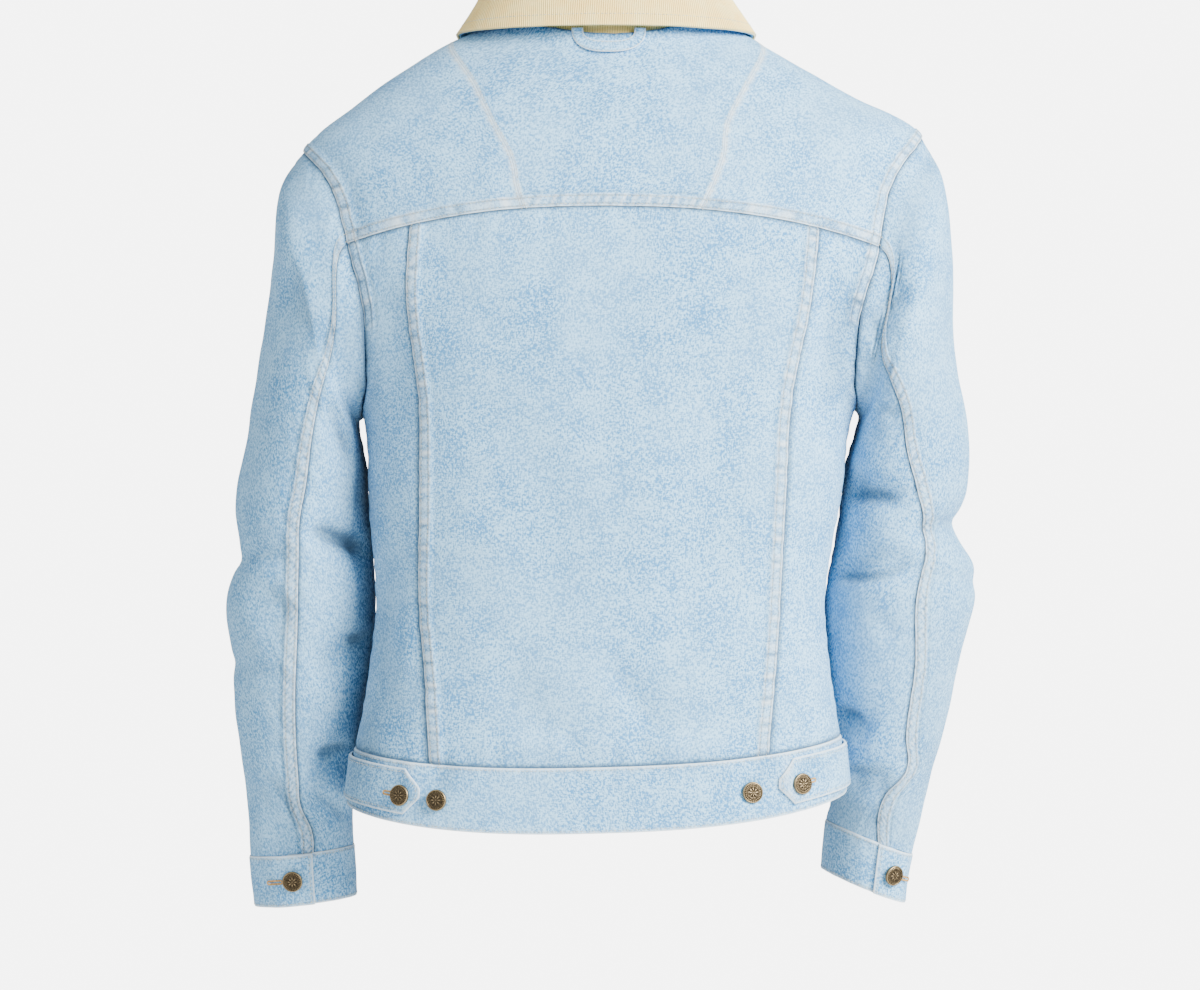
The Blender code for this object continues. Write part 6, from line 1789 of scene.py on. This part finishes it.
@dataclass(frozen=True)
class Denim:
    """Washed denim: a diagonal weave, uneven yarn, pale worn edges and ridges (the ridges also a painted highlight),
    and dark navy that is partly less faded dye and partly painted shade.
    """

    pale: Colour = (0.37, 0.69, 0.95)
    blue: Colour = (0.065, 0.26, 0.54)
    washed: Colour = (0.34, 0.62, 0.86)
    # dark navy for less faded cloth and for painted shade in creases, under raised edges and between sleeve and body
    worn: Colour = (0.66, 0.79, 0.88)
    deep: Colour = (0.055, 0.115, 0.19)
    twill_pitch: float = 0.00075
    roughness: float = 0.92
    sheen: float = 0.10

    def group(self) -> bpy.types.NodeTree:
        """The varying colour and height of the cloth."""
        tree = bpy.data.node_groups.new("denim_look", "ShaderNodeTree")
        for name, kind in (("Color", "Color"), ("Height", "Float")):
            tree.interface.new_socket(name, in_out="OUTPUT", socket_type="NodeSocket" + kind)
        shade = Shade(tree)
        places = shade.node("ShaderNodeTexCoord")
        cloth, space = places.outputs["UV"], places.outputs["Object"]
        yarn = shade.grain(shade.stretch(cloth, 900.0, 380.0), 1.0, 3.0, 0.6)
        weft = shade.grain(shade.stretch(cloth, 260.0, 1300.0), 1.0, 2.0, 0.5)
        fleck = shade.grain(space, 520.0, 3.0, 0.66)
        patch = shade.grain(space, 46.0, 3.0, 0.55)
        wash = shade.grain(space, 13.0, 2.0, 0.5)
        twill = shade.node("ShaderNodeTexWave", wave_type="BANDS", bands_direction="X", wave_profile="SIN")
        shade.feed(twill.inputs["Vector"], shade.stretch(cloth, 1.0, 1.0, math.radians(-58)))
        twill.inputs["Scale"].default_value = 2 * math.pi / (20 * self.twill_pitch)
        twill.inputs["Distortion"].default_value = 1.6
        twill.inputs["Detail Scale"].default_value = 0.35
        mottle = shade.math("ADD", shade.math("MULTIPLY", yarn, 0.50), shade.math("MULTIPLY", fleck, 0.50))
        mottle = shade.math("ADD", mottle, shade.math("MULTIPLY", shade.math("SUBTRACT", weft, 0.5), 0.24))
        mottle = shade.math("ADD", mottle, shade.math("MULTIPLY", shade.math("SUBTRACT", patch, 0.5), 0.16))
        colour = shade.blend(shade.between(mottle, 0.435, 0.565), self.blue, self.pale)
        colour = shade.blend(shade.math("MULTIPLY", shade.between(wash, 0.35, 0.68), 0.22), colour, self.washed)
        worn, deep = shade.attribute("worn"), shade.attribute("deep")
        scuff = shade.math("MULTIPLY", worn, shade.math("ADD", 0.55, shade.math("MULTIPLY", mottle, 0.75)))
        colour = shade.blend(shade.between(scuff, 0.04, 0.92), colour, self.worn)
        # painted shade and less faded dye: darken towards the navy by the mesh's value
        unfaded_and_shade_share = shade.math("MULTIPLY", deep, shade.math("SUBTRACT", 1.22, shade.math("MULTIPLY", mottle, 0.65)))
        colour = shade.blend(shade.between(unfaded_and_shade_share, 0.0, 1.0), colour, self.deep)
        height = shade.math("ADD", shade.math("MULTIPLY", twill.outputs["Fac"], 0.45), shade.math("MULTIPLY", mottle, 0.9))
        end = shade.node("NodeGroupOutput")
        shade.feed(end.inputs["Color"], colour)
        shade.feed(end.inputs["Height"], height)
        return tree

    def build(self) -> bpy.types.Material:
        """The finish of every piece of denim."""
        return cloth_material("denim", self.group(), self.roughness, self.sheen, 0.00028)


@dataclass(frozen=True)
class Corduroy:
    """Cream corduroy: a soft pile on the wales, with painted shade in the valleys between them."""

    pile: Colour = (1.0, 0.74, 0.24)
    pale: Colour = (1.0, 0.82, 0.33)
    # brown painted shade for the valleys between the wales
    valley_shade: Colour = (0.20, 0.10, 0.025)
    roughness: float = 0.95
    sheen: float = 0.45

    def group(self) -> bpy.types.NodeTree:
        """The varying colour and height of the pile."""
        tree = bpy.data.node_groups.new("corduroy_look", "ShaderNodeTree")
        for name, kind in (("Color", "Color"), ("Height", "Float")):
            tree.interface.new_socket(name, in_out="OUTPUT", socket_type="NodeSocket" + kind)
        shade = Shade(tree)
        places = shade.node("ShaderNodeTexCoord")
        cloth, space = places.outputs["UV"], places.outputs["Object"]
        fibre = shade.grain(shade.stretch(cloth, 2600.0, 700.0), 1.0, 3.0, 0.6)
        patch = shade.grain(space, 70.0, 3.0, 0.6)
        wale = shade.attribute("worn")
        colour = shade.blend(shade.between(patch, 0.35, 0.70), self.pile, self.pale)
        rise = shade.math("ADD", wale, shade.math("MULTIPLY", shade.math("SUBTRACT", fibre, 0.5), 0.5))
        # painted shade in the valleys between the wales
        colour = shade.blend(shade.between(rise, -0.05, 0.62), self.valley_shade, colour)
        end = shade.node("NodeGroupOutput")
        shade.feed(end.inputs["Color"], colour)
        shade.feed(end.inputs["Height"], fibre)
        return tree

    def build(self) -> bpy.types.Material:
        """The finish of the collar's top."""
        return cloth_material("corduroy", self.group(), self.roughness, self.sheen, 0.00030)


@dataclass(frozen=True)
class Brass:
    """Antique brass: darker and rougher in patches."""

    bright: Colour = (0.36, 0.27, 0.15)
    dark: Colour = (0.035, 0.027, 0.017)

    def build(self) -> bpy.types.Material:
        """The finish of the buttons."""
        material, shade, shader = new_material("antique_brass")
        space = shade.node("ShaderNodeTexCoord").outputs["Object"]
        patch = shade.grain(space, 900.0, 3.0, 0.6)
        rubbed = shade.math("ADD", shade.attribute("worn"), shade.math("MULTIPLY", shade.math("SUBTRACT", patch, 0.5), 0.7))
        shade.feed(shader.inputs["Base Color"], shade.blend(shade.between(rubbed, 0.10, 0.85), self.dark, self.bright))
        rough = shade.math("ADD", 0.30, shade.math("MULTIPLY", patch, 0.25))
        shade.feed(shader.inputs["Roughness"], rough)
        shader.inputs["Metallic"].default_value = 1.0
        return material


@dataclass(frozen=True)
class Thread:
    """Twisted cotton thread."""

    name: str
    pale: Colour
    dark: Colour

    def build(self) -> bpy.types.Material:
        """The finish of one kind of thread."""
        material, shade, shader = new_material(self.name)
        space = shade.node("ShaderNodeTexCoord").outputs["Object"]
        patch = shade.grain(space, 900.0, 2.0, 0.5)
        shade.feed(shader.inputs["Base Color"], shade.blend(shade.between(patch, 0.35, 0.65), self.dark, self.pale))
        shader.inputs["Roughness"].default_value = 0.8
        return material


def new_material(name: str) -> tuple[bpy.types.Material, Shade, bpy.types.Node]:
    """A material with its shader.

    Args:
        name: the material's name.

    Returns:
        The material, a helper for its nodes and the shader node.
    """
    material = bpy.data.materials.new(name)
    material.use_nodes = True
    return material, Shade(material.node_tree), material.node_tree.nodes["Principled BSDF"]


def cloth_material(
    name: str, look: bpy.types.NodeTree, roughness: float, sheen: float, depth: float
) -> bpy.types.Material:
    """A cloth's shader, fed by a group that puts out its colour and height.

    Args:
        name: the material's name.
        look: the group.
        roughness: roughness of the cloth.
        sheen: weight of its sheen.
        depth: height of its grain in metres.

    Returns:
        The material.
    """
    material, shade, shader = new_material(name)
    group = shade.node("ShaderNodeGroup", node_tree=look)
    bump = shade.node("ShaderNodeBump")
    bump.inputs["Distance"].default_value = depth
    bump.inputs["Strength"].default_value = 0.8
    shade.feed(bump.inputs["Height"], group.outputs["Height"])
    shade.feed(shader.inputs["Base Color"], group.outputs["Color"])
    shade.feed(shader.inputs["Normal"], bump.outputs["Normal"])
    shader.inputs["Roughness"].default_value = roughness
    shader.inputs["Sheen Weight"].default_value = sheen
    shader.inputs["Specular IOR Level"].default_value = 0.15
    return material


# ------------------------------------------------------------------ stage, light and camera


@dataclass
class Studio:
    """A pale floor well below the hanging jacket, soft light from one side and the camera."""

    backdrop: float = 6.3
    ambient: float = 0.65
    key_power: float = 460.0
    floor_height: float = -1.47
    floor_radius: float = 2.5
    camera_place: tuple[float, float, float] = (0.0055, 3.11, -0.367)
    lens: float = 115.0

    def build(self) -> None:
        """Sets up the stage."""
        self.build_floor()
        self.build_world()
        self.light("key", (-2.3, 2.1, 1.0), 1.6, self.key_power, (1.0, 0.99, 0.97))
        self.light("fill", (2.4, 1.6, 0.2), 2.4, self.key_power * 0.07, (0.95, 0.98, 1.0))
        camera = bpy.data.objects.new("camera", bpy.data.cameras.new("camera"))
        camera.location = self.camera_place
        camera.rotation_euler = (math.pi / 2, 0.0, math.pi)
        camera.data.lens = self.lens
        camera.data.sensor_width = 36.0
        bpy.context.scene.collection.objects.link(camera)
        bpy.context.scene.camera = camera

    def build_floor(self) -> None:
        """A thin pale disc."""
        mesh = bpy.data.meshes.new("floor")
        shell = bmesh.new()
        bmesh.ops.create_circle(shell, cap_ends=True, radius=self.floor_radius, segments=96)
        shell.to_mesh(mesh)
        shell.free()
        material, _, shader = new_material("pale_floor")
        shader.inputs["Base Color"].default_value = (0.8, 0.8, 0.8, 1.0)
        shader.inputs["Roughness"].default_value = 0.9
        floor = add_object("floor", mesh, material)
        floor.location.z = self.floor_height

    def build_world(self) -> None:
        """A pale backdrop for the camera and a weaker even light for the cloth."""
        world = bpy.data.worlds.new("studio")
        bpy.context.scene.world = world
        world.use_nodes = True
        tree = world.node_tree
        tree.nodes.clear()
        shade = Shade(tree)
        ray = shade.node("ShaderNodeLightPath").outputs["Is Camera Ray"]
        seen, lit = shade.node("ShaderNodeBackground"), shade.node("ShaderNodeBackground")
        seen.inputs["Color"].default_value = (self.backdrop, self.backdrop, self.backdrop, 1.0)
        lit.inputs["Color"].default_value = (1.0, 1.0, 1.0, 1.0)
        lit.inputs["Strength"].default_value = self.ambient
        mix, end = shade.node("ShaderNodeMixShader"), shade.node("ShaderNodeOutputWorld")
        for socket, value in zip(mix.inputs, (ray, lit.outputs[0], seen.outputs[0])):
            shade.feed(socket, value)
        shade.feed(end.inputs["Surface"], mix.outputs[0])

    @staticmethod
    def light(name: str, place: tuple[float, float, float], size: float, power: float, colour: Colour) -> None:
        """A square soft light that faces the middle of the jacket."""
        lamp = bpy.data.lights.new(name, "AREA")
        lamp.size, lamp.energy, lamp.color = size, power, colour
        piece = bpy.data.objects.new(name, lamp)
        piece.location = place
        piece.rotation_euler = (Vector((0.0, 0.0, -0.37)) - piece.location).to_track_quat("-Z", "Y").to_euler()
        bpy.context.scene.collection.objects.link(piece)


# ------------------------------------------------------------------ the whole jacket


def main() -> None:
    """Builds the jacket piece by piece, then the stage."""
    logging.basicConfig(level=logging.INFO, format="%(name)s: %(message)s")
    denim, corduroy, brass = Denim().build(), Corduroy().build(), Brass().build()
    seam_thread = Thread("seam_thread", (0.62, 0.62, 0.52), (0.34, 0.36, 0.34)).build()
    hole_thread = Thread("hole_thread", (0.62, 0.38, 0.14), (0.34, 0.19, 0.06)).build()
    torso = Torso()
    sleeves = {side: Sleeve(torso, side) for side in (LEFT, RIGHT)}
    armholes = {side: sleeve.armhole for side, sleeve in sleeves.items()}
    sewing, holes = Sewing(), Buttonholes(hole_thread)
    strip_rows = Body(torso, armholes, denim, sewing).build()
    Waist(torso, denim, sewing).build()
    Arms(sleeves, denim, sewing).build()
    Neck(torso, Collar(), corduroy, denim, sewing).build()
    sewing.build(seam_thread)
    Buttons(torso, sleeves, strip_rows, brass, holes).build()
    holes.build()
    Studio().build()
    bpy.context.view_layer.update()


if __name__ == "__main__":
    main()
